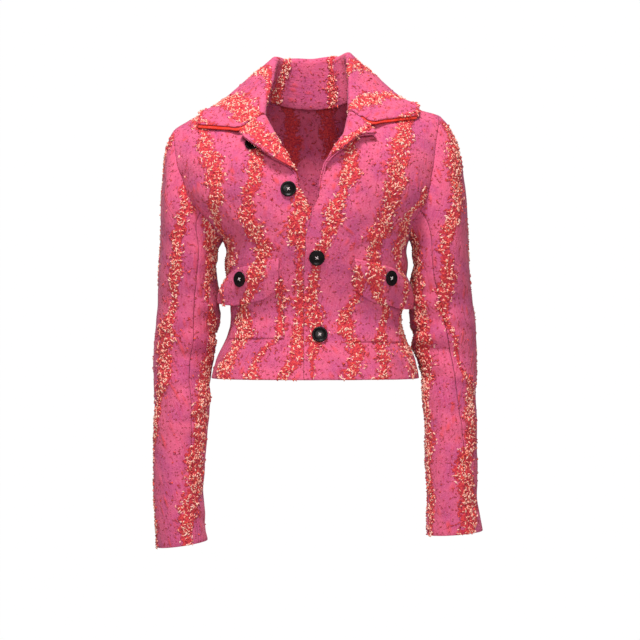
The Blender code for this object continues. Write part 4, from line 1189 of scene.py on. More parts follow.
def walled(cloth, rim=2):
    """A closed wall about a sheet, with rounded edges: points, faces, and each point's source."""
    rows, columns = cloth.grid.shape[:2]
    places = together(cloth.grid.reshape(-1, 3))
    _, source = np.unique(places, return_index=True)
    points = cloth.grid.reshape(-1, 3)[source]
    normals = cloth.normals.reshape(-1, 3)[source]
    faces = []
    for face in places[quads(rows, columns, cloth.flip)[cloth.cells.reshape(-1)]]:
        corners = [corner for k, corner in enumerate(face) if corner != face[k - 1]]
        if len(set(corners)) == len(corners) > 2:
            faces.append(corners)
    edges = dict.fromkeys(edge for face in faces for edge in zip(face, face[1:] + face[:1]))
    border = [edge for edge in edges if edge[::-1] not in edges]
    outward = np.zeros_like(points)
    for a, b in border:
        away = np.cross(points[b] - points[a], normals[a] + normals[b])
        outward[a] += unit(away)
        outward[b] += unit(away)
    outward = unit(outward)
    half = WALL / 2
    reach = outward * half
    points = points - reach - outward * SEAM_GAP / 2
    count = len(points)
    ring = sorted({corner for edge in border for corner in edge})
    layers = [points + normals * half, points - normals * half]
    levels = [np.arange(count)]
    for k in range(rim):
        angle = math.pi * (k + 1) / (rim + 1)
        rounded_edge = points + normals * half * math.cos(angle) + reach * math.sin(angle)
        layers.append(rounded_edge[ring])
        level = np.zeros(count, int)
        level[ring] = 2 * count + k * len(ring) + np.arange(len(ring))
        levels.append(level)
    levels.append(np.arange(count) + count)
    walls = faces + [[corner + count for corner in reversed(face)] for face in faces]
    for high, low in zip(levels, levels[1:]):
        walls += [[high[b], high[a], low[a], low[b]] for a, b in border]
    used = np.unique(np.concatenate(walls))
    renumbered = np.zeros(used.max() + 1, int)
    renumbered[used] = np.arange(len(used))
    walls = [renumbered[face].tolist() for face in walls]
    sources = np.concatenate([source, source] + [source[ring]] * rim)
    return np.concatenate(layers)[used], walls, sources[used]


def waves(x, z, strength):
    """Shallow unevenness, a hand's width and a thumb's width across."""
    broad = np.sin(61 * x + 37 * z + 1.3) * np.sin(47 * z - 29 * x + 0.4)
    narrow = np.sin(151 * x - 83 * z + 2.1) * np.sin(139 * z + 67 * x)
    narrow = narrow + 0.6 * np.sin(97 * x + 171 * z + 0.7)
    return strength * (BROAD_WAVE * broad + NARROW_WAVE * narrow)


def hem_groove(height):
    """How deep a turned edge's stitch line presses the cloth in, this far above the edge."""
    return HEM_DEPTH * np.exp(-(((height - HEM_TURN) / HEM_LINE) ** 2))


def crease_section(across, ridge, beside):
    """A crease seen across: a trough 1 deep, and a ridge so high and so far beside it."""
    return np.exp(-across * across) - ridge * np.exp(-((across - beside) ** 2))


def relief(x, z, face, strength):
    """How far the torso's cloth stands out at a point: creases, waves and the hem's turned edge."""
    out = waves(x, z, strength)
    for number, crease in enumerate(rows_of(TORSO_CREASES)):
        if crease.face == face:
            along, across = on_fold(crease, x, z)
            section = crease_section(across + 0.5 * np.sin(2.2 * along + number), 0.45, 1.7)
            out = out - strength * crease.depth * section * np.exp(-along * along)
    return out - hem_groove(z - HEM_Z)


def settled(grid, face, strength):
    """The grid with the torso's relief, in the direction that the torso faces there."""
    x = grid[..., 0]
    z = grid[..., 2]
    return grid + panel_normal(x, z, face) * relief(x, z, face, strength)[..., None]


def creased_sleeve(grid, normals, side, strength):
    """The sleeve's finer creases: soft troughs with a ridge beside each."""
    columns = grid.shape[1]
    place = np.linspace(0, 360, columns)[None]
    z = grid[..., 2]
    out = waves(place / 360 * SLEEVE_ROUND, z, strength)
    for number, crease in enumerate(rows_of(SLEEVE_CREASES[side])):
        around = signed(place - crease.place)
        height = (z - crease.z - crease.climb * around / 90) / crease.width
        section = crease_section(height + 0.4 * np.sin(around / 22 + number), 0.5, 1.8)
        out = out - strength * crease.depth * section * np.exp(-((around / crease.reach) ** 2))
    out = out - hem_groove(z - z[-1].min())
    fade = np.minimum(1, np.arange(len(grid)) / (2 * ROWS_BY))[:, None]
    return grid + normals * (out * fade)[..., None]


def nearness(distance, half_width, x, z):
    """1 on a stripe's middle line, falling to 0 at its edge, which wanders."""
    wander = 1 + 0.16 * np.sin(83 * z + 41 * x) + 0.18 * np.sin(211 * z - 67 * x + 1.7)
    return np.exp(-((distance / np.maximum(half_width * wander, 0.0004)) ** 4))


def stripe_at(lines, stripe, z):
    """A stripe's middle at the heights z, its half width, and how far z lies beyond its ends."""
    there = ~np.isnan(lines[stripe])
    heights = lines["z"][there][::-1] / 1000
    middle = through(z, heights, lines[stripe][there][::-1])
    halves = lines.get(stripe + "_half", np.full(len(lines["z"]), USUAL_HALF))
    half = np.interp(z, heights, halves[there][::-1]) / 1000
    return middle, half, np.maximum(0, np.maximum(z - heights[-1], heights[0] - z))


def stripe_names(lines):
    """The stripes that a table holds."""
    return [name for name in lines if name != "z" and not name.endswith("_half")]


def panel_stripe(name, grid, breadth, face=1):
    """How much each point of a torso panel belongs to a stripe."""
    x = grid[..., 0]
    z = grid[..., 2]
    normal = panel_normal(x, z, face)
    slant = np.abs(normal[..., 1]) / np.maximum(np.hypot(normal[..., 0], normal[..., 1]), 1e-6)
    found = np.zeros(z.shape)
    for stripe in stripe_names(STRIPES[name]):
        middle, half, beyond = stripe_at(STRIPES[name], stripe, z)
        distance = np.abs(x - middle / 1000) / np.maximum(slant, LEAST_FACING)
        found = np.maximum(found, nearness(np.hypot(distance, beyond), half * breadth, x, z))
    return found


def sleeve_stripe(side, grid, breadth):
    """How much each point of a sleeve belongs to a stripe."""
    z = grid[..., 2]
    place = np.linspace(0, 360, grid.shape[1])[None]
    around = lengths_across(grid)[:, -1:] / 360
    found = np.zeros(z.shape)
    for stripe in stripe_names(SLEEVE_STRIPES[side]):
        middle, half, beyond = stripe_at(SLEEVE_STRIPES[side], stripe, z)
        distance = np.hypot(np.abs(signed(place - middle)) * around, beyond)
        found = np.maximum(found, nearness(distance, half * breadth, place / 900, z))
    return found


def collar_stripe(cloth, share, breadth):
    """The same for the collar, with a faint stripe along its outer edge.

    share is each row's part of its length.
    """
    x = cloth.grid[..., 0]
    place = cloth.grid[..., 1] + cloth.grid[..., 2]
    across = np.linspace(0, 1, x.shape[1])[None]
    found = 0.75 * nearness((1 - across) * cloth.across[:, -1:], 0.005 * breadth, x, place)
    for stripe in rows_of(COLLAR_STRIPES):
        middle = stripe.neck + (stripe.outer - stripe.neck) * across
        distance = np.abs(share - middle) * cloth.down[-1:]
        found = np.maximum(found, nearness(distance, stripe.half * breadth / 1000, x, place))
    return found


@functools.cache
def base_sheets():
    """The sections of the solids: a coarse grid for each cloth piece."""
    sheets = {"back": back_sheet()}
    for side in SIDES:
        sheets["front_" + side] = front_sheet(side)
        sheets["sleeve_" + side] = sleeve_sheet(side)
    sheets["collar"] = collar_sheet(sheets, surface_tree(sheets))
    for side in SIDES:
        sheets["pocket_" + side] = pocket_sheet(side)
        sheets["flap_" + side] = flap_sheet(side)
    return sheets


def fold_sections(flat, turned):
    """How finely a sheet is divided that has a fold between its flat and its turned columns."""
    fold = flat + FOLD_COLUMNS
    return [(0, flat, COLUMNS_BY), (flat, fold, FOLD_BY), (fold, fold + turned, COLUMNS_BY)]


def eased_to(grid, line, count):
    """The grid with its first row drawn onto a line, and the next rows after it by less."""
    fade = np.clip(1 - np.arange(len(grid)) / count, 0, 1)[:, None, None]
    return grid + (line - grid[0])[None] * fade


@functools.cache
def torso_grids(strength):
    """The fine grids of the fronts and the back, which meet at the side seams."""
    sheets = base_sheets()
    grids = {}
    for side in SIDES:
        parts = fold_sections(FRONT_COLUMNS, LAPEL_COLUMNS)
        grids["front_" + side] = refined(sheets["front_" + side], ROWS_BY, parts)
    columns = sheets["back"].shape[1] - 1
    back = refined(sheets["back"], ROWS_BY, [(0, columns, COLUMNS_BY)])
    low = LOW_ROWS * ROWS_BY + 1
    for side in SIDES:
        seam = grids["front_" + side][:low, 0]
        strip = back[:low] if SIDES[side] < 0 else back[:low, ::-1]
        strip[...] = eased_to(strip.transpose(1, 0, 2), seam, COLUMNS_BY).transpose(1, 0, 2)
    grids["back"] = back
    return {
        name: settled(grid, -1 if name == "back" else 1, strength * seam_fade(grid, name))
        for name, grid in grids.items()
    }


def seam_fade(grid, name):
    """Creases and waves die out towards the seams."""
    columns = np.arange(grid.shape[1])
    edge = np.minimum(columns, columns[::-1]) if name == "back" else columns
    return smooth(edge / (1.5 * COLUMNS_BY))[None]


def add_front_cloths(cloths, side, strength, breadth):
    """A front with its turned lapel, and the facing that lies over the lapel."""
    name = "front_" + side
    grid = torso_grids(strength)[name]
    flip = SIDES[side] > 0
    gorge = (LOW_ROWS + GORGE_ROW) * ROWS_BY
    fold = FRONT_COLUMNS * COLUMNS_BY
    cells = np.ones((len(grid) - 1, grid.shape[1] - 1), bool)
    cells[gorge:, fold:] = False
    stripe = panel_stripe(name, grid, breadth)
    first = (LOW_ROWS + FIRST_LAPEL_ROW) * ROWS_BY
    past_fold = np.arange(grid.shape[1]) - fold - FOLD_COLUMNS * FOLD_BY
    lapel = np.clip(past_fold / (LAPEL_COLUMNS * COLUMNS_BY), 0, 1)
    share = np.clip((np.arange(len(grid)) - first) / (gorge - first), 0, 1)[:, None]
    lift = strength * LAPEL_LIFT * lapel * smooth(3 * share) * smooth(2.2 * (1 - share))
    grid = grid + torso_normal(grid[..., 0], grid[..., 2]) * lift[..., None]
    whole = Cloth(grid, flip, stripe, cells=cells)
    cloths[name] = whole
    facing = whole.part(slice(fold - COLUMNS_BY, None), slice(first, gorge + 1))
    facing = facing.over(LAYER, flip=True)
    facing.stripe = panel_stripe("facing_" + side, facing.grid, breadth)
    cloths["facing_" + side] = facing


def add_sleeve_cloths(cloths, side, strength, breadth):
    """A sleeve that meets the armhole, cut into its under and its top half."""
    torso = torso_grids(strength)
    grid = refined_ring(base_sheets()["sleeve_" + side], ROWS_BY, COLUMNS_BY)
    high = LOW_ROWS * ROWS_BY
    back = torso["back"] if SIDES[side] < 0 else torso["back"][:, ::-1]
    hole = np.concatenate([torso["front_" + side][high:, 0][::-1], back[high + 1 :, 0]])
    grid = eased_to(grid, hole, 2 * ROWS_BY)
    flip = SIDES[side] < 0
    normals = outward_directions(grid, flip)
    grid = creased_sleeve(grid, normals, side, strength)
    whole = Cloth(grid, flip, sleeve_stripe(side, grid, breadth))
    front, rear = FRONT_SEAM * COLUMNS_BY, BACK_SEAM * COLUMNS_BY
    count = RING_POINTS * COLUMNS_BY
    cloths[f"sleeve_{side}_under"] = whole.part(slice(front, rear + 1))
    cloths[f"sleeve_{side}_top"] = whole.part(np.arange(rear, count + front + 1) % count)


def add_collar_cloths(cloths, strength, breadth):
    """The felt under collar, and the top collar on it, drawn back in front to show the felt."""
    parts = fold_sections(STAND_COLUMNS, FALL_COLUMNS)
    sheet = refined(base_sheets()["collar"], ROWS_BY, parts)
    rows, columns = sheet.shape[:2]
    share = np.linspace(0, 1, rows)[:, None]
    across = np.linspace(0, 1, columns)[None]
    sway = np.sin(7 * math.pi * share + 0.6) * np.sin(math.pi * share)
    sway = sway + 0.5 * np.sin(19 * share + 3 * across)
    normals = outward_directions(sheet, True)
    sheet = sheet + normals * (strength * COLLAR_SWAY * sway * across**2)[..., None]
    under = Cloth(sheet, True)
    top = under.over(LAYER)
    notch = STAND_COLUMNS * COLUMNS_BY + FOLD_COLUMNS * FOLD_BY
    notch += int(FALL_COLUMNS * NOTCH_SHARE) * COLUMNS_BY
    for ends in (top.grid, top.grid[::-1]):
        for row in range(ROWS_BY):
            inner = ends[row + 1, notch:] - ends[row, notch:]
            ends[row, notch:] += unit(inner) * FELT_SHOWN * (1 - row / ROWS_BY)
    middle = np.abs(np.arange(rows) - rows // 2)
    top_lap = NECK_LAP * smooth((NECK_LAP_END - middle) / NECK_LAP_FADE)
    under_lap = top_lap * smooth((middle - TOP_LAP_ALONE) / TOP_LAP_FADE)
    for cloth, lap in ((top, top_lap), (under, under_lap)):
        cloth.grid[:, 0] += unit(cloth.grid[:, 0] - cloth.grid[:, 1]) * lap[:, None]
    top.stripe = collar_stripe(top, share, breadth)
    cloths["collar_under"] = under
    cloths["collar_top"] = top


def add_pocket_cloths(cloths, side, strength, breadth):
    """A patch pocket and the flap over it."""
    flip = SIDES[side] > 0
    for name in ("pocket_" + side, "flap_" + side):
        sheet = base_sheets()[name]
        grid = refined(sheet, ROWS_BY, [(0, sheet.shape[1] - 1, COLUMNS_BY)])
        grid = settled(grid, 1, strength)
        if name.startswith("pocket"):
            rows, columns = (np.arange(count) for count in grid.shape[:2])
            edge = np.minimum(rows[::-1, None], np.minimum(columns, columns[::-1]))
            sink = POCKET_SEWN * (1 - smooth(edge / COLUMNS_BY))
            grid = grid - torso_normal(grid[..., 0], grid[..., 2]) * sink[..., None]
        cloths[name] = Cloth(grid, flip, panel_stripe("front_" + side, grid, breadth))


@functools.cache
def all_cloths(strength, breadth):
    """Every cloth piece as it lies, with creases of that strength and stripes of that breadth."""
    grid = torso_grids(strength)["back"]
    cloths = {"back": Cloth(grid, True, panel_stripe("back", grid, breadth, face=-1))}
    for side in SIDES:
        add_front_cloths(cloths, side, strength, breadth)
        add_sleeve_cloths(cloths, side, strength, breadth)
        add_pocket_cloths(cloths, side, strength, breadth)
    add_collar_cloths(cloths, strength, breadth)
    return cloths


def cloths_now():
    """The cloth pieces in the sizes that the panel holds."""
    sizes = bpy.context.scene.jacket_sizes
    return all_cloths(sizes.crease_strength, sizes.stripe_breadth)


def spots_on(cloth, count, weight, rng):
    """Places scattered on a cloth's outer side, more of them where the weight is greater.

    For each: the point, the directions outward and across the cloth, and the weight there.
    """
    grid = cloth.grid
    chance = (cloth.areas() * (weight[:-1, :-1] + weight[1:, 1:]) / 2).reshape(-1)
    cells = rng.choice(len(chance), size=count, p=chance / chance.sum())
    row, column = np.divmod(cells, grid.shape[1] - 1)
    a, b = rng.random((2, count, 1))

    def mixed(values):
        low = values[row, column] * (1 - b) + values[row, column + 1] * b
        high = values[row + 1, column] * (1 - b) + values[row + 1, column + 1] * b
        return low * (1 - a) + high * a

    normal = unit(mixed(cloth.normals))
    across = unit(grid[row, column + 1] - grid[row, column])
    across = unit(across - normal * np.sum(across * normal, axis=1, keepdims=True))
    return mixed(grid) + normal * WALL / 2, normal, across, mixed(weight[..., None])[:, 0]


def slub_tubes(centre, normal, across, sizes, rng, sides=3, steps=4):
    """Short curved yarns lying on the cloth, both ends sewn in, all in one mesh.

    Points, faces, and how many faces the side and the ends of each yarn have.
    """
    count = len(centre)
    turn = rng.random((count, 1)) * 2 * math.pi
    ahead = across * np.cos(turn) + np.cross(normal, across) * np.sin(turn)
    aside = np.cross(normal, ahead)
    length, radius, lift = (
        getattr(sizes, name) * (least + more * rng.random((count, 1)))
        for name, (least, more) in SLUB_SPREAD.items()
    )
    sweep = 0.5 + 3.2 * rng.random((count, 1)) ** 1.6
    bow = length / sweep
    t = np.linspace(0, 1, steps + 1)
    angle = sweep * (t[None] - 0.5)
    forward = bow * np.sin(angle)
    sideways = bow * (np.cos(angle) - np.cos(sweep / 2)) * 0.9
    height = lift * np.sin(math.pi * t[None]) - radius * 0.6
    line = (
        centre[:, None]
        + forward[..., None] * ahead[:, None]
        + sideways[..., None] * aside[:, None]
        + height[..., None] * normal[:, None]
    )
    along = unit(np.gradient(line, axis=1))
    side = unit(np.cross(along, normal[:, None]))
    top = np.cross(side, along)
    thick = radius * (0.45 + 0.55 * np.sin(math.pi * np.clip(t[None], 0.05, 0.95)) ** 0.6)
    around = np.arange(sides) * 2 * math.pi / sides + math.pi / 2
    rings = (
        line[:, :, None]
        + (thick[..., None] * np.cos(around))[..., None] * side[:, :, None]
        + (thick[..., None] * np.sin(around) * 0.8)[..., None] * top[:, :, None]
    )
    points = rings.reshape(-1, 3)
    ring = np.arange(sides)
    low = np.arange(steps)[:, None] * sides + ring
    next_low = np.arange(steps)[:, None] * sides + (ring + 1) % sides
    one = np.stack([low, low + sides, next_low + sides, next_low], axis=-1).reshape(-1, 4)
    size = (steps + 1) * sides
    first = np.arange(count)[:, None, None] * size
    walls = (one[None] + first).reshape(-1, 4)
    ends = (np.stack([ring, ring[::-1] + steps * sides])[None] + first).reshape(-1, sides)
    return points, walls.tolist() + ends.tolist(), len(one), 2


def linked(name, data):
    """A new object in the scene that holds this mesh, lamp or camera."""
    made = bpy.data.objects.new(name, data)
    bpy.context.scene.collection.objects.link(made)
    return made


def new_mesh(name, points, faces, materials=()):
    """An object made of points and faces, in these materials."""
    mesh = bpy.data.meshes.new(name)
    faces = [list(map(int, face)) for face in faces]
    mesh.from_pydata(np.asarray(points, float).tolist(), [], faces)
    mesh.update()
    for finish in materials:
        mesh.materials.append(finish)
    return linked(name, mesh)


def new_piece(name, points, faces, materials):
    """A smooth piece of the jacket, which goes where its body goes."""
    made = new_mesh(name, points, faces, materials)
    made.data.shade_smooth()
    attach(made, BODY)
    return made


def add_shell(name, cloth, finish):
    """A cloth piece over its solid, with its lengths as UVs and its stripes as an attribute."""
    points, faces, source = walled(cloth)
    made = new_piece(name + "_cloth", points, faces, [finish])
    mesh = made.data
    corner_vertex = np.zeros(len(mesh.loops), int)
    mesh.loops.foreach_get("vertex_index", corner_vertex)
    lengths = np.stack([cloth.across.reshape(-1), cloth.down.reshape(-1)], axis=1)[source]
    layer = mesh.uv_layers.new(name="grain")
    layer.data.foreach_set("uv", lengths[corner_vertex].reshape(-1))
    stripe = mesh.attributes.new("stripe", "FLOAT", "POINT")
    stripe.data.foreach_set("value", cloth.stripe.reshape(-1)[source])
    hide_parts(name)
    return made


def add_slubs(name, cloth, sizes):
    """The slubs of one cloth piece: orange and pale, thick on the stripes and rare between them."""
    rng = np.random.default_rng(SEEDS[name])
    weight = cloth.stripe**STRIPE_SHARPNESS + STRAY_SHARE
    count = int(float((cloth.areas() * weight[:-1, :-1]).sum()) * sizes.slubs_per_area)
    *spots, weight = spots_on(cloth, count, weight, rng)
    points, faces, walls, ends = slub_tubes(*spots, sizes, rng)
    yarns = [finishes()["orange"], finishes()["pale"]]
    made = new_piece(name + "_slubs", points, faces, yarns)
    # Strays between the stripes are mostly orange
    pale_share = sizes.pale_share * np.clip(weight / 0.2, 0.15, 1)
    pale = (rng.random(count) < pale_share).astype(np.int32)
    indices = np.concatenate([pale.repeat(walls), pale.repeat(ends)])
    made.data.polygons.foreach_set("material_index", indices)
    return made


def declare(shell, cloth, extras):
    """Works out the width, length and area of the sheet that the piece was cut from."""
    width = float(cloth.across[:, -1].max())
    length = float(cloth.down[-1].max())
    area = min(float(cloth.areas().sum()), width * length)


def dress(name):
    """One tweed piece: its shell and its slubs, and the sizes of the sheet it was cut from."""
    cloth = cloths_now()[name]
    shell = add_shell(name, cloth, finishes()["tweed"])
    declare(shell, cloth, [add_slubs(name, cloth, bpy.context.scene.jacket_sizes)])


def linear(red, green, blue):
    """A colour as Blender counts it, from the usual 0 to 255."""
    parts = [value / 255 for value in (red, green, blue)]
    return tuple(p / 12.92 if p <= 0.04045 else ((p + 0.055) / 1.055) ** 2.4 for p in parts)


class Recipe:
    """A material being put together from nodes."""

    def __init__(self, name, roughness, sheen=0.0, specular=0.3):
        self.material = bpy.data.materials.new(name)
        self.material.use_nodes = True
        self.tree = self.material.node_tree
        self.shader = self.tree.nodes["Principled BSDF"]
        self.shader.inputs["Roughness"].default_value = roughness
        self.shader.inputs["Sheen Weight"].default_value = sheen
        self.shader.inputs["Specular IOR Level"].default_value = specular

    def add(self, kind, inputs=None, **options):
        """A node with these options, its inputs joined or set."""
        made = self.tree.nodes.new(kind)
        for option, value in options.items():
            setattr(made, option, value)
        for socket, value in (inputs or {}).items():
            self.join(made.inputs[socket], value)
        return made

    def join(self, socket, value):
        """Links a node's output to the socket, or sets the socket to a plain value."""
        if isinstance(value, bpy.types.NodeSocket):
            self.tree.links.new(value, socket)
        elif isinstance(value, tuple) and len(value) == 3 and socket.type == "RGBA":
            socket.default_value = (*value, 1)
        else:
            socket.default_value = value

    def mix(self, factor, first, second):
        """The first colour turning into the second as the factor grows."""
        inputs = {0: factor, 6: first, 7: second}
        return self.add("ShaderNodeMix", inputs, data_type="RGBA").outputs[2]

    def span(self, value, low, high, to_low=0.0, to_high=1.0):
        """The value, with low to high spread over to_low to to_high."""
        inputs = {0: value, 1: low, 2: high, 3: to_low, 4: to_high}
        return self.add("ShaderNodeMapRange", inputs, clamp=True).outputs[0]

    def maths(self, kind, first, second):
        """One of the sums that Blender's maths node can do."""
        return self.add("ShaderNodeMath", {0: first, 1: second}, operation=kind).outputs[0]

    def noise(self, place, scale, detail, roughness=0.5):
        """Soft clouds, so many to a metre."""
        inputs = {"Vector": place, "Scale": scale, "Detail": detail, "Roughness": roughness}
        return self.add("ShaderNodeTexNoise", inputs).outputs["Fac"]

    def dots(self, place, scale, reach, chance):
        """Soft dots about scattered points: where each fades in, and which of them show."""
        inputs = {"Vector": place, "Scale": scale, "Randomness": 1.0}
        made = self.add("ShaderNodeTexVoronoi", inputs)
        number = self.add("ShaderNodeSeparateColor", {0: made.outputs["Color"]}).outputs[0]
        near = self.span(made.outputs["Distance"], *reach)
        return self.maths("MULTIPLY", near, self.span(number, *chance))

    def stretched(self, place, scale):
        """The place, scaled by its own amount along each direction."""
        return self.add("ShaderNodeMapping", {"Vector": place, "Scale": scale}).outputs["Vector"]

    def everywhere(self):
        """The place in the object itself."""
        return self.add("ShaderNodeTexCoord").outputs["Object"]

    def bumps(self, height, distance):
        """Raises the surface by the height, over the distance in metres."""
        inputs = {"Height": height, "Distance": distance, "Strength": 1.0}
        bump = self.add("ShaderNodeBump", inputs)
        self.join(self.shader.inputs["Normal"], bump.outputs["Normal"])

    def colour(self, value):
        """Gives the surface its colour and ends the recipe."""
        self.join(self.shader.inputs["Base Color"], value)
        return self.material


def tweed_finish(colours):
    """Loose twill in mixed pinks, with flecks, red blots, a bright ground under the stripes and
    painted shade in it.
    """
    recipe = Recipe("loose tweed", roughness=0.92, sheen=0.06, specular=0.15)
    place = recipe.everywhere()
    grain = recipe.add("ShaderNodeUVMap", uv_map="grain").outputs["UV"]
    stripe = recipe.add("ShaderNodeAttribute", attribute_name="stripe").outputs["Fac"]

    patches = recipe.span(recipe.noise(place, 30.0, 3.0), 0.42, 0.62)
    ground = recipe.mix(patches, colours.pink, colours.violet)
    streaks = recipe.noise(recipe.stretched(grain, (340.0, 48.0, 1.0)), 1.0, 3.0, 0.6)
    ground = recipe.mix(recipe.span(streaks, 0.52, 0.72, 0.0, 0.55), ground, colours.crimson)
    grit = recipe.noise(place, 520.0, 2.0)
    ground = recipe.mix(recipe.span(grit, 0.50, 0.70, 0.0, 0.45), ground, colours.highlight)

    along = recipe.stretched(grain, (1.0, 0.9, 1.0))
    flecks = recipe.dots(along, 240.0, (0.40, 0.12), (0.35, 0.75))
    ground = recipe.mix(recipe.maths("MULTIPLY", flecks, 0.50), ground, colours.fleck)
    along = recipe.stretched(grain, (1.0, 0.6, 1.0))
    blots = recipe.dots(along, 92.0, (0.46, 0.14), (0.40, 0.75))
    ground = recipe.mix(recipe.maths("MULTIPLY", blots, 0.62), ground, colours.orange)

    clusters = recipe.noise(place, 230.0, 2.0, 0.6)
    edge = recipe.maths("ADD", stripe, recipe.span(clusters, 0.25, 0.75, -0.8, 0.8))
    bright = recipe.span(edge, 0.30, 0.62, 0.0, 0.92)
    # Painted shade between the slubs: clouds of a darker red through the stripes' ground, laid at
    # random
    slub_gap_shade_mask = recipe.span(recipe.noise(place, 420.0, 2.0), 0.38, 0.60)
    ground = recipe.mix(bright, ground, recipe.mix(slub_gap_shade_mask, colours.orange, colours.slub_gap_shade))

    height = recipe.maths("MULTIPLY", streaks, 0.5)
    raised = recipe.maths("MULTIPLY", bright, clusters)
    for layer, amount in ((grit, 0.45), (raised, 2.4), (blots, 0.8), (flecks, -0.3)):
        height = recipe.maths("ADD", height, recipe.maths("MULTIPLY", layer, amount))
    recipe.bumps(height, 0.0010)
    return recipe.colour(ground)


def yarn_finish(name, first, second):
    """Brushed yarn that changes tone from one slub to the next."""
    recipe = Recipe(name, roughness=0.85, sheen=0.1, specular=0.2)
    place = recipe.everywhere()
    tone = recipe.span(recipe.noise(place, 230.0, 1.0), 0.38, 0.62)
    recipe.bumps(recipe.noise(place, 2600.0, 2.0), 0.0004)
    return recipe.colour(recipe.mix(tone, first, second))


def felt_finish(colours):
    """Dense matted wool: fine fibres in every direction."""
    recipe = Recipe("collar felt", roughness=0.95, sheen=0.05, specular=0.1)
    place = recipe.everywhere()
    fibres = recipe.noise(recipe.stretched(place, (1.0, 1.0, 2.5)), 1300.0, 4.0, 0.7)
    matted = recipe.noise(place, 180.0, 3.0)
    shade = recipe.mix(recipe.span(matted, 0.35, 0.65), colours.felt, colours.orange)
    shade = recipe.mix(recipe.span(fibres, 0.55, 0.80, 0.0, 0.25), shade, colours.coral)
    recipe.bumps(recipe.maths("ADD", fibres, matted), 0.0005)
    return recipe.colour(shade)


def button_finish(colours):
    """Dark polished plastic with faint clouds and fine scratches."""
    recipe = Recipe("button plastic", roughness=0.3, specular=0.12)
    place = recipe.everywhere()
    cloud = recipe.span(recipe.noise(place, 260.0, 3.0), 0.35, 0.7)
    scratches = recipe.noise(recipe.stretched(place, (1.0, 1.0, 7.0)), 1100.0, 3.0)
    recipe.join(recipe.shader.inputs["Roughness"], recipe.span(scratches, 0.3, 0.7, 0.20, 0.32))
    recipe.bumps(scratches, 0.00004)
    dark = colours.button
    return recipe.colour(recipe.mix(cloud, dark, tuple(0.003 + part for part in dark)))


def thread_finish(colours):
    """Matte twisted sewing thread."""
    recipe = Recipe("button thread", roughness=0.7, sheen=0.2)
    twist = recipe.noise(recipe.everywhere(), 4000.0, 1.0)
    recipe.bumps(twist, 0.0001)
    thread = colours.thread
    return recipe.colour(recipe.mix(twist, thread, tuple(0.8 * part for part in thread)))


def colours_now():
    """The colours that the panel holds."""
    group = bpy.context.scene.jacket_colours
    values = {name: tuple(getattr(group, name)) for name in group.__annotations__}
    return types.SimpleNamespace(**values)


@functools.cache
def finishes():
    """The jacket's materials, made once."""
    colours = colours_now()
    return {
        "tweed": tweed_finish(colours),
        "orange": yarn_finish("orange slubs", colours.coral, colours.crimson),
        "pale": yarn_finish("pale slubs", colours.cream, colours.peach),
        "felt": felt_finish(colours),
        "button": button_finish(colours),
        "thread": thread_finish(colours),
    }


def rounded(line, times):
    """A line of points with its corners cut away, its ends kept."""
    for _ in range(times):
        near = 0.75 * line[:-1] + 0.25 * line[1:]
        far = 0.25 * line[:-1] + 0.75 * line[1:]
        inner = np.stack([near, far], axis=1).reshape(-1, line.shape[1])
        line = np.concatenate([line[:1], inner, line[-1:]])
    return line


def ring_walls(rings, sides):
    """The faces between so many rings of points, one after the other."""
    faces = []
    for low in range(0, (rings - 1) * sides, sides):
        for i in range(sides):
            j = (i + 1) % sides
            faces.append([low + i, low + j, low + sides + j, low + sides + i])
    return faces


def turned(profile, segments=48):
    """A turned solid round Z: points and faces, closed with a fan at both ends."""
    angle = np.arange(segments) * 2 * math.pi / segments
    x, y = np.cos(angle), np.sin(angle)
    rings = [np.stack([r * x, r * y, np.full(segments, h)], axis=1) for r, h in profile]
    points = np.concatenate(rings + [[[0, 0, profile[0][1]]], [[0, 0, profile[-1][1]]]])
    faces = ring_walls(len(rings), segments)
    last = (len(rings) - 1) * segments
    for i in range(segments):
        j = (i + 1) % segments
        faces.append([j, i, len(points) - 2])
        faces.append([last + i, last + j, len(points) - 1])
    return points, faces


def tube(line, radius, sides=10):
    """A round thread along a line, closed at both ends."""
    line = np.asarray(line, float)
    along = unit(np.gradient(line, axis=0))
    side = unit(np.cross(along, [0, 0, 1.0]))
    top = np.cross(side, along)
    angle = np.arange(sides)[:, None] * 2 * math.pi / sides
    around = np.cos(angle) * side[:, None] + np.sin(angle) * top[:, None]
    rings = line[:, None] + radius * around
    faces = [[face[0], *face[:0:-1]] for face in ring_walls(len(line), sides)]
    faces.append(list(range(sides)))
    faces.append([(len(line) - 1) * sides + i for i in range(sides)][::-1])
    return rings.reshape(-1, 3), faces


def drilled(points, faces, holes, radius):
    """The solid with round holes cut through it along Z."""
    whole = new_mesh("body", points, faces)
    drills = []
    for x, y in holes:
        drill_points, drill_faces = turned([(radius, -0.01), (radius, 0.01)], 20)
        drill = new_mesh("drill", drill_points + [x, y, 0], drill_faces)
        cut = whole.modifiers.new("hole", "BOOLEAN")
        cut.operation = "DIFFERENCE"
        cut.solver = "EXACT"
        cut.object = drill
        drills.append(drill)
    graph = bpy.context.evaluated_depsgraph_get()
    graph.update()
    result = whole.evaluated_get(graph).to_mesh()
    made = np.array([vertex.co[:] for vertex in result.vertices])
    made_faces = [list(face.vertices) for face in result.polygons]
    whole.evaluated_get(graph).to_mesh_clear()
    for thing in [whole, *drills]:
        mesh = thing.data
        bpy.data.objects.remove(thing)
        bpy.data.meshes.remove(mesh)
    return made, made_faces


def merged(parts):
    """Many points-and-faces put together as one."""
    all_points = []
    all_faces = []
    for points, faces in parts:
        start = len(all_points)
        all_points += points.tolist()
        all_faces += [[start + corner for corner in face] for face in faces]
    return np.array(all_points), all_faces


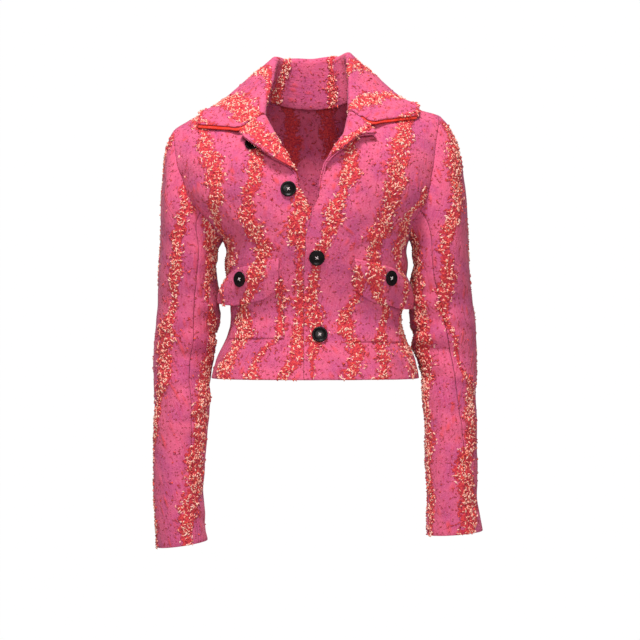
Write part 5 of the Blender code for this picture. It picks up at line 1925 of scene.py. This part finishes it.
def button_form(sizes):
    """A four-hole button about the origin, facing +Z, and its two crossed double threads."""
    profile = rounded(np.array(BUTTON_OUTLINE) * [BUTTON_RADIUS, BUTTON_THICKNESS], 2)
    deck = profile[-1, 1]
    reach = sizes.hole_spacing / 2
    holes = [(reach, reach), (-reach, reach), (-reach, -reach), (reach, -reach)]
    disc = drilled(*turned(profile), holes, sizes.hole_radius)
    t = np.linspace(0, 1, 15)
    strands = []
    for number in range(2):
        (ax, ay), (bx, by) = holes[number], holes[number + 2]
        sunk = THREAD_SINK * np.abs(2 * t - 1) ** 8
        rise = deck + sizes.thread_radius * (0.7 + 1.8 * number) - sunk
        line = np.stack([ax + (bx - ax) * t, ay + (by - ay) * t, rise], axis=1)
        for offset in (-0.85, 0.85):
            aside = np.array([-(by - ay), bx - ax, 0])
            aside = aside / np.linalg.norm(aside) * sizes.thread_radius * offset
            strands.append(tube(line + aside, sizes.thread_radius))
    return {"disc": disc, "thread": merged(strands)}


def seated(points, centre, direction):
    """Points about the origin, set on a spot with their Z along its direction."""
    z = unit(np.asarray(direction, float))
    x = unit(np.cross([0, 1.0, 0.15], z))
    y = np.cross(z, x)
    return centre + points @ np.stack([x, y, z])


def button_places(cloths):
    """Where each button sits: its centre on the cloth and the direction that it faces."""
    seat = WALL / 2 + SEAM_GAP
    places = {}
    for name, (x, z) in BUTTONS.items():
        places[name] = over_torso(x, z, seat + BUTTON_SLACK)
    for side, spot in FLAP_BUTTONS.items():
        flap = cloths["flap_" + side]
        outward = unit(between(flap.normals, *spot))
        places["button_flap_" + side] = (between(flap.grid, *spot) + outward * seat, outward)
    return places


def factor_property(name, description, default, most):
    """A share or a strength, from 0 to the most."""
    return FloatProperty(
        name=name,
        description=description,
        default=default,
        min=0.0,
        max=most,
        subtype="FACTOR",
    )


def length_property(name, description, default):
    """A length in metres."""
    return FloatProperty(
        name=name,
        description=description,
        default=default,
        unit="LENGTH",
        subtype="DISTANCE",
    )


def colour_property(name, description, red, green, blue):
    """A colour, given from 0 to 255."""
    return FloatVectorProperty(
        name=name,
        description=description,
        default=linear(red, green, blue),
        min=0.0,
        max=1.0,
        subtype="COLOR",
    )


class JacketSizes(bpy.types.PropertyGroup):
    crease_strength: factor_property(
        "Crease strength", "Depth of the cloth's creases and waves, 1 as worn", 1.0, 2.0
    )
    stripe_breadth: factor_property(
        "Stripe breadth", "How broad the stripes of slubs are, 1 as in the tables", 1.0, 2.0
    )
    slubs_per_area: IntProperty(
        name="Slubs per square metre",
        description="How many slubs a square metre of stripe holds",
        default=84000,
        min=0,
    )
    slub_length: length_property("Slub length", "Usual length of a slub", 0.0049)
    slub_radius: length_property("Slub radius", "Half the thickness of a slub's yarn", 0.00118)
    slub_height: length_property(
        "Slub height", "How far a slub's middle stands off the cloth", 0.0017
    )
    pale_share: factor_property(
        "Share of pale slubs", "Cream slubs among all, the rest being orange", 0.68, 1.0
    )
    hole_spacing: length_property(
        "Hole spacing", "Distance between two neighbouring holes of a button", 0.0036
    )
    hole_radius: length_property("Hole radius", "Radius of a button's holes", 0.0009)
    thread_radius: length_property("Thread radius", "Half the sewing thread's thickness", 0.00032)
    floor_depth: length_property("Floor depth", "How far the floor is below the shoulders", 1.4)


class JacketColours(bpy.types.PropertyGroup):
    pink: colour_property("Pink", "Main colour of the tweed", 208, 88, 120)
    violet: colour_property("Violet", "Cooler patches of the tweed", 184, 76, 118)
    highlight: colour_property("Highlight", "Light threads in the tweed", 222, 112, 140)
    crimson: colour_property("Crimson", "Darker streaks along the tweed", 184, 42, 74)
    fleck: colour_property("Fleck", "Short dark flecks in the tweed", 184, 46, 82)
    orange: colour_property("Orange", "Brightest of the ground beneath the slubs", 216, 66, 62)
    # Painted shade: the darker red that stands in for the shade between the slubs
    slub_gap_shade: colour_property("Ember", "Shade between the slubs", 172, 34, 52)
    coral: colour_property("Coral", "The bright slubs", 242, 92, 68)
    cream: colour_property("Cream", "The palest slubs", 250, 204, 186)
    peach: colour_property("Peach", "The warmer of the pale slubs", 244, 144, 124)
    felt: colour_property("Felt", "Under side of the collar", 226, 50, 24)
    button: colour_property("Button", "Polished plastic of the buttons", 14, 8, 9)
    thread: colour_property("Thread", "Sewing thread in the buttons", 214, 196, 196)
    floor: colour_property("Floor", "Studio floor", 244, 244, 244)


class JACKET_OT_back(bpy.types.Operator):
    """Lay the woven back over its solid"""

    bl_idname = "jacket.back"
    bl_label = "Back"

    def execute(self, context):
        dress("back")
        return {"FINISHED"}


class JACKET_OT_fronts(bpy.types.Operator):
    """Lay both fronts and the facings of their lapels over their solids"""

    bl_idname = "jacket.fronts"
    bl_label = "Fronts and lapels"

    def execute(self, context):
        for side in SIDES:
            dress("front_" + side)
            dress("facing_" + side)
        return {"FINISHED"}


class JACKET_OT_sleeves(bpy.types.Operator):
    """Lay the top and under halves of both sleeves over their solids"""

    bl_idname = "jacket.sleeves"
    bl_label = "Sleeves"

    def execute(self, context):
        for side in SIDES:
            dress(f"sleeve_{side}_top")
            dress(f"sleeve_{side}_under")
        return {"FINISHED"}


class JACKET_OT_collar(bpy.types.Operator):
    """Lay the felt under collar and the tweed top collar over their solids"""

    bl_idname = "jacket.collar"
    bl_label = "Collar"

    def execute(self, context):
        cloth = cloths_now()["collar_under"]
        declare(add_shell("collar_under", cloth, finishes()["felt"]), cloth, [])
        dress("collar_top")
        return {"FINISHED"}


class JACKET_OT_pockets(bpy.types.Operator):
    """Lay the patch pockets and their flaps over their solids"""

    bl_idname = "jacket.pockets"
    bl_label = "Pockets and flaps"

    def execute(self, context):
        for side in SIDES:
            dress("pocket_" + side)
            dress("flap_" + side)
        return {"FINISHED"}


class JACKET_OT_buttons(bpy.types.Operator):
    """Sew the six four-hole buttons on"""

    bl_idname = "jacket.buttons"
    bl_label = "Buttons"

    def execute(self, context):
        form = button_form(context.scene.jacket_sizes)
        looks = {"disc": finishes()["button"], "thread": finishes()["thread"]}
        for name, (centre, outward) in button_places(cloths_now()).items():
            for part, (points, faces) in form.items():
                placed = seated(points, centre, outward)
                made = new_piece(f"{name}_{part}", placed, faces, [looks[part]])
                if part == "disc":
                    made.data.set_sharp_from_angle(angle=math.radians(40))
                    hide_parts(name)
        return {"FINISHED"}


def add_lamp(name, place, breadth, power):
    """A round soft lamp that shines on the middle of the jacket."""
    light = bpy.data.lights.new(name, "AREA")
    light.shape = "DISK"
    light.size = breadth
    light.energy = power
    lamp = linked(name, light)
    lamp.location = place
    aim = Vector(LAMP_TARGET) - Vector(place)
    lamp.rotation_euler = aim.to_track_quat("-Z", "Y").to_euler()


class JACKET_OT_stage(bpy.types.Operator):
    """Set up the pale floor, the soft lights and the camera"""

    bl_idname = "jacket.stage"
    bl_label = "Floor, lights and camera"

    def execute(self, context):
        depth = context.scene.jacket_sizes.floor_depth
        paper = Recipe("floor", roughness=0.9)
        pale = colours_now().floor
        dim = tuple(0.97 * part for part in pale)
        tone = paper.mix(paper.noise(paper.everywhere(), 12.0, 3.0), pale, dim)
        angle = np.linspace(0, 2 * math.pi, FLOOR_SIDES, endpoint=False)
        rim = FLOOR_RADIUS * np.stack([np.cos(angle), np.sin(angle), 0 * angle], axis=1)
        rim -= [0, 0, depth]
        floor = new_mesh("floor", rim, [range(FLOOR_SIDES)], [paper.colour(tone)])

        lit = Recipe("backdrop", roughness=1.0)
        lit.shader.inputs["Emission Color"].default_value = (1, 1, 1, 1)
        lit.shader.inputs["Emission Strength"].default_value = 1.0
        screen = lit.colour((0, 0, 0))
        backdrop = new_mesh("backdrop", BACKDROP_CORNERS, [range(4)], [screen])

        world = bpy.data.worlds.new("studio")
        world.use_nodes = True
        sky = world.node_tree.nodes["Background"]
        sky.inputs["Color"].default_value = (1, 1, 1, 1)
        sky.inputs["Strength"].default_value = SKY_STRENGTH
        context.scene.world = world
        context.scene.view_settings.view_transform = "Standard"
        for name, lamp in LAMPS.items():
            add_lamp(name, *lamp)

        lens = bpy.data.cameras.new("camera")
        lens.sensor_width = SENSOR_WIDTH
        lens.lens = SENSOR_WIDTH * -CAMERA_PLACE[1] / VIEW_WIDTH
        camera = linked("camera", lens)
        camera.location = CAMERA_PLACE
        camera.rotation_euler = (math.pi / 2, 0, 0)
        context.scene.camera = camera
        return {"FINISHED"}


class JACKET_PT_panel(bpy.types.Panel):
    """The jacket's sizes, colours and pieces"""

    bl_label = "Jacket"
    bl_idname = "JACKET_PT_panel"
    bl_space_type = "VIEW_3D"
    bl_region_type = "UI"
    bl_category = "Jacket"

    def draw(self, context):
        for group in (context.scene.jacket_sizes, context.scene.jacket_colours):
            box = self.layout.box()
            for name in group.__annotations__:
                box.prop(group, name)
        column = self.layout.column()
        for operator in OPERATORS:
            column.operator(operator.bl_idname)


OPERATORS = (
    JACKET_OT_back,
    JACKET_OT_fronts,
    JACKET_OT_sleeves,
    JACKET_OT_collar,
    JACKET_OT_pockets,
    JACKET_OT_buttons,
    JACKET_OT_stage,
)
CLASSES = (JacketSizes, JacketColours, *OPERATORS, JACKET_PT_panel)


def register():
    for item in CLASSES:
        bpy.utils.register_class(item)
    bpy.types.Scene.jacket_sizes = PointerProperty(type=JacketSizes)
    bpy.types.Scene.jacket_colours = PointerProperty(type=JacketColours)


def unregister():
    del bpy.types.Scene.jacket_colours
    del bpy.types.Scene.jacket_sizes
    for item in reversed(CLASSES):
        bpy.utils.unregister_class(item)


def main():
    register()
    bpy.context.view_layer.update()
    bpy.ops.jacket.back()
    bpy.ops.jacket.fronts()
    bpy.ops.jacket.sleeves()
    bpy.ops.jacket.collar()
    bpy.ops.jacket.pockets()
    bpy.ops.jacket.buttons()
    bpy.ops.jacket.stage()


if __name__ == "__main__":
    main()
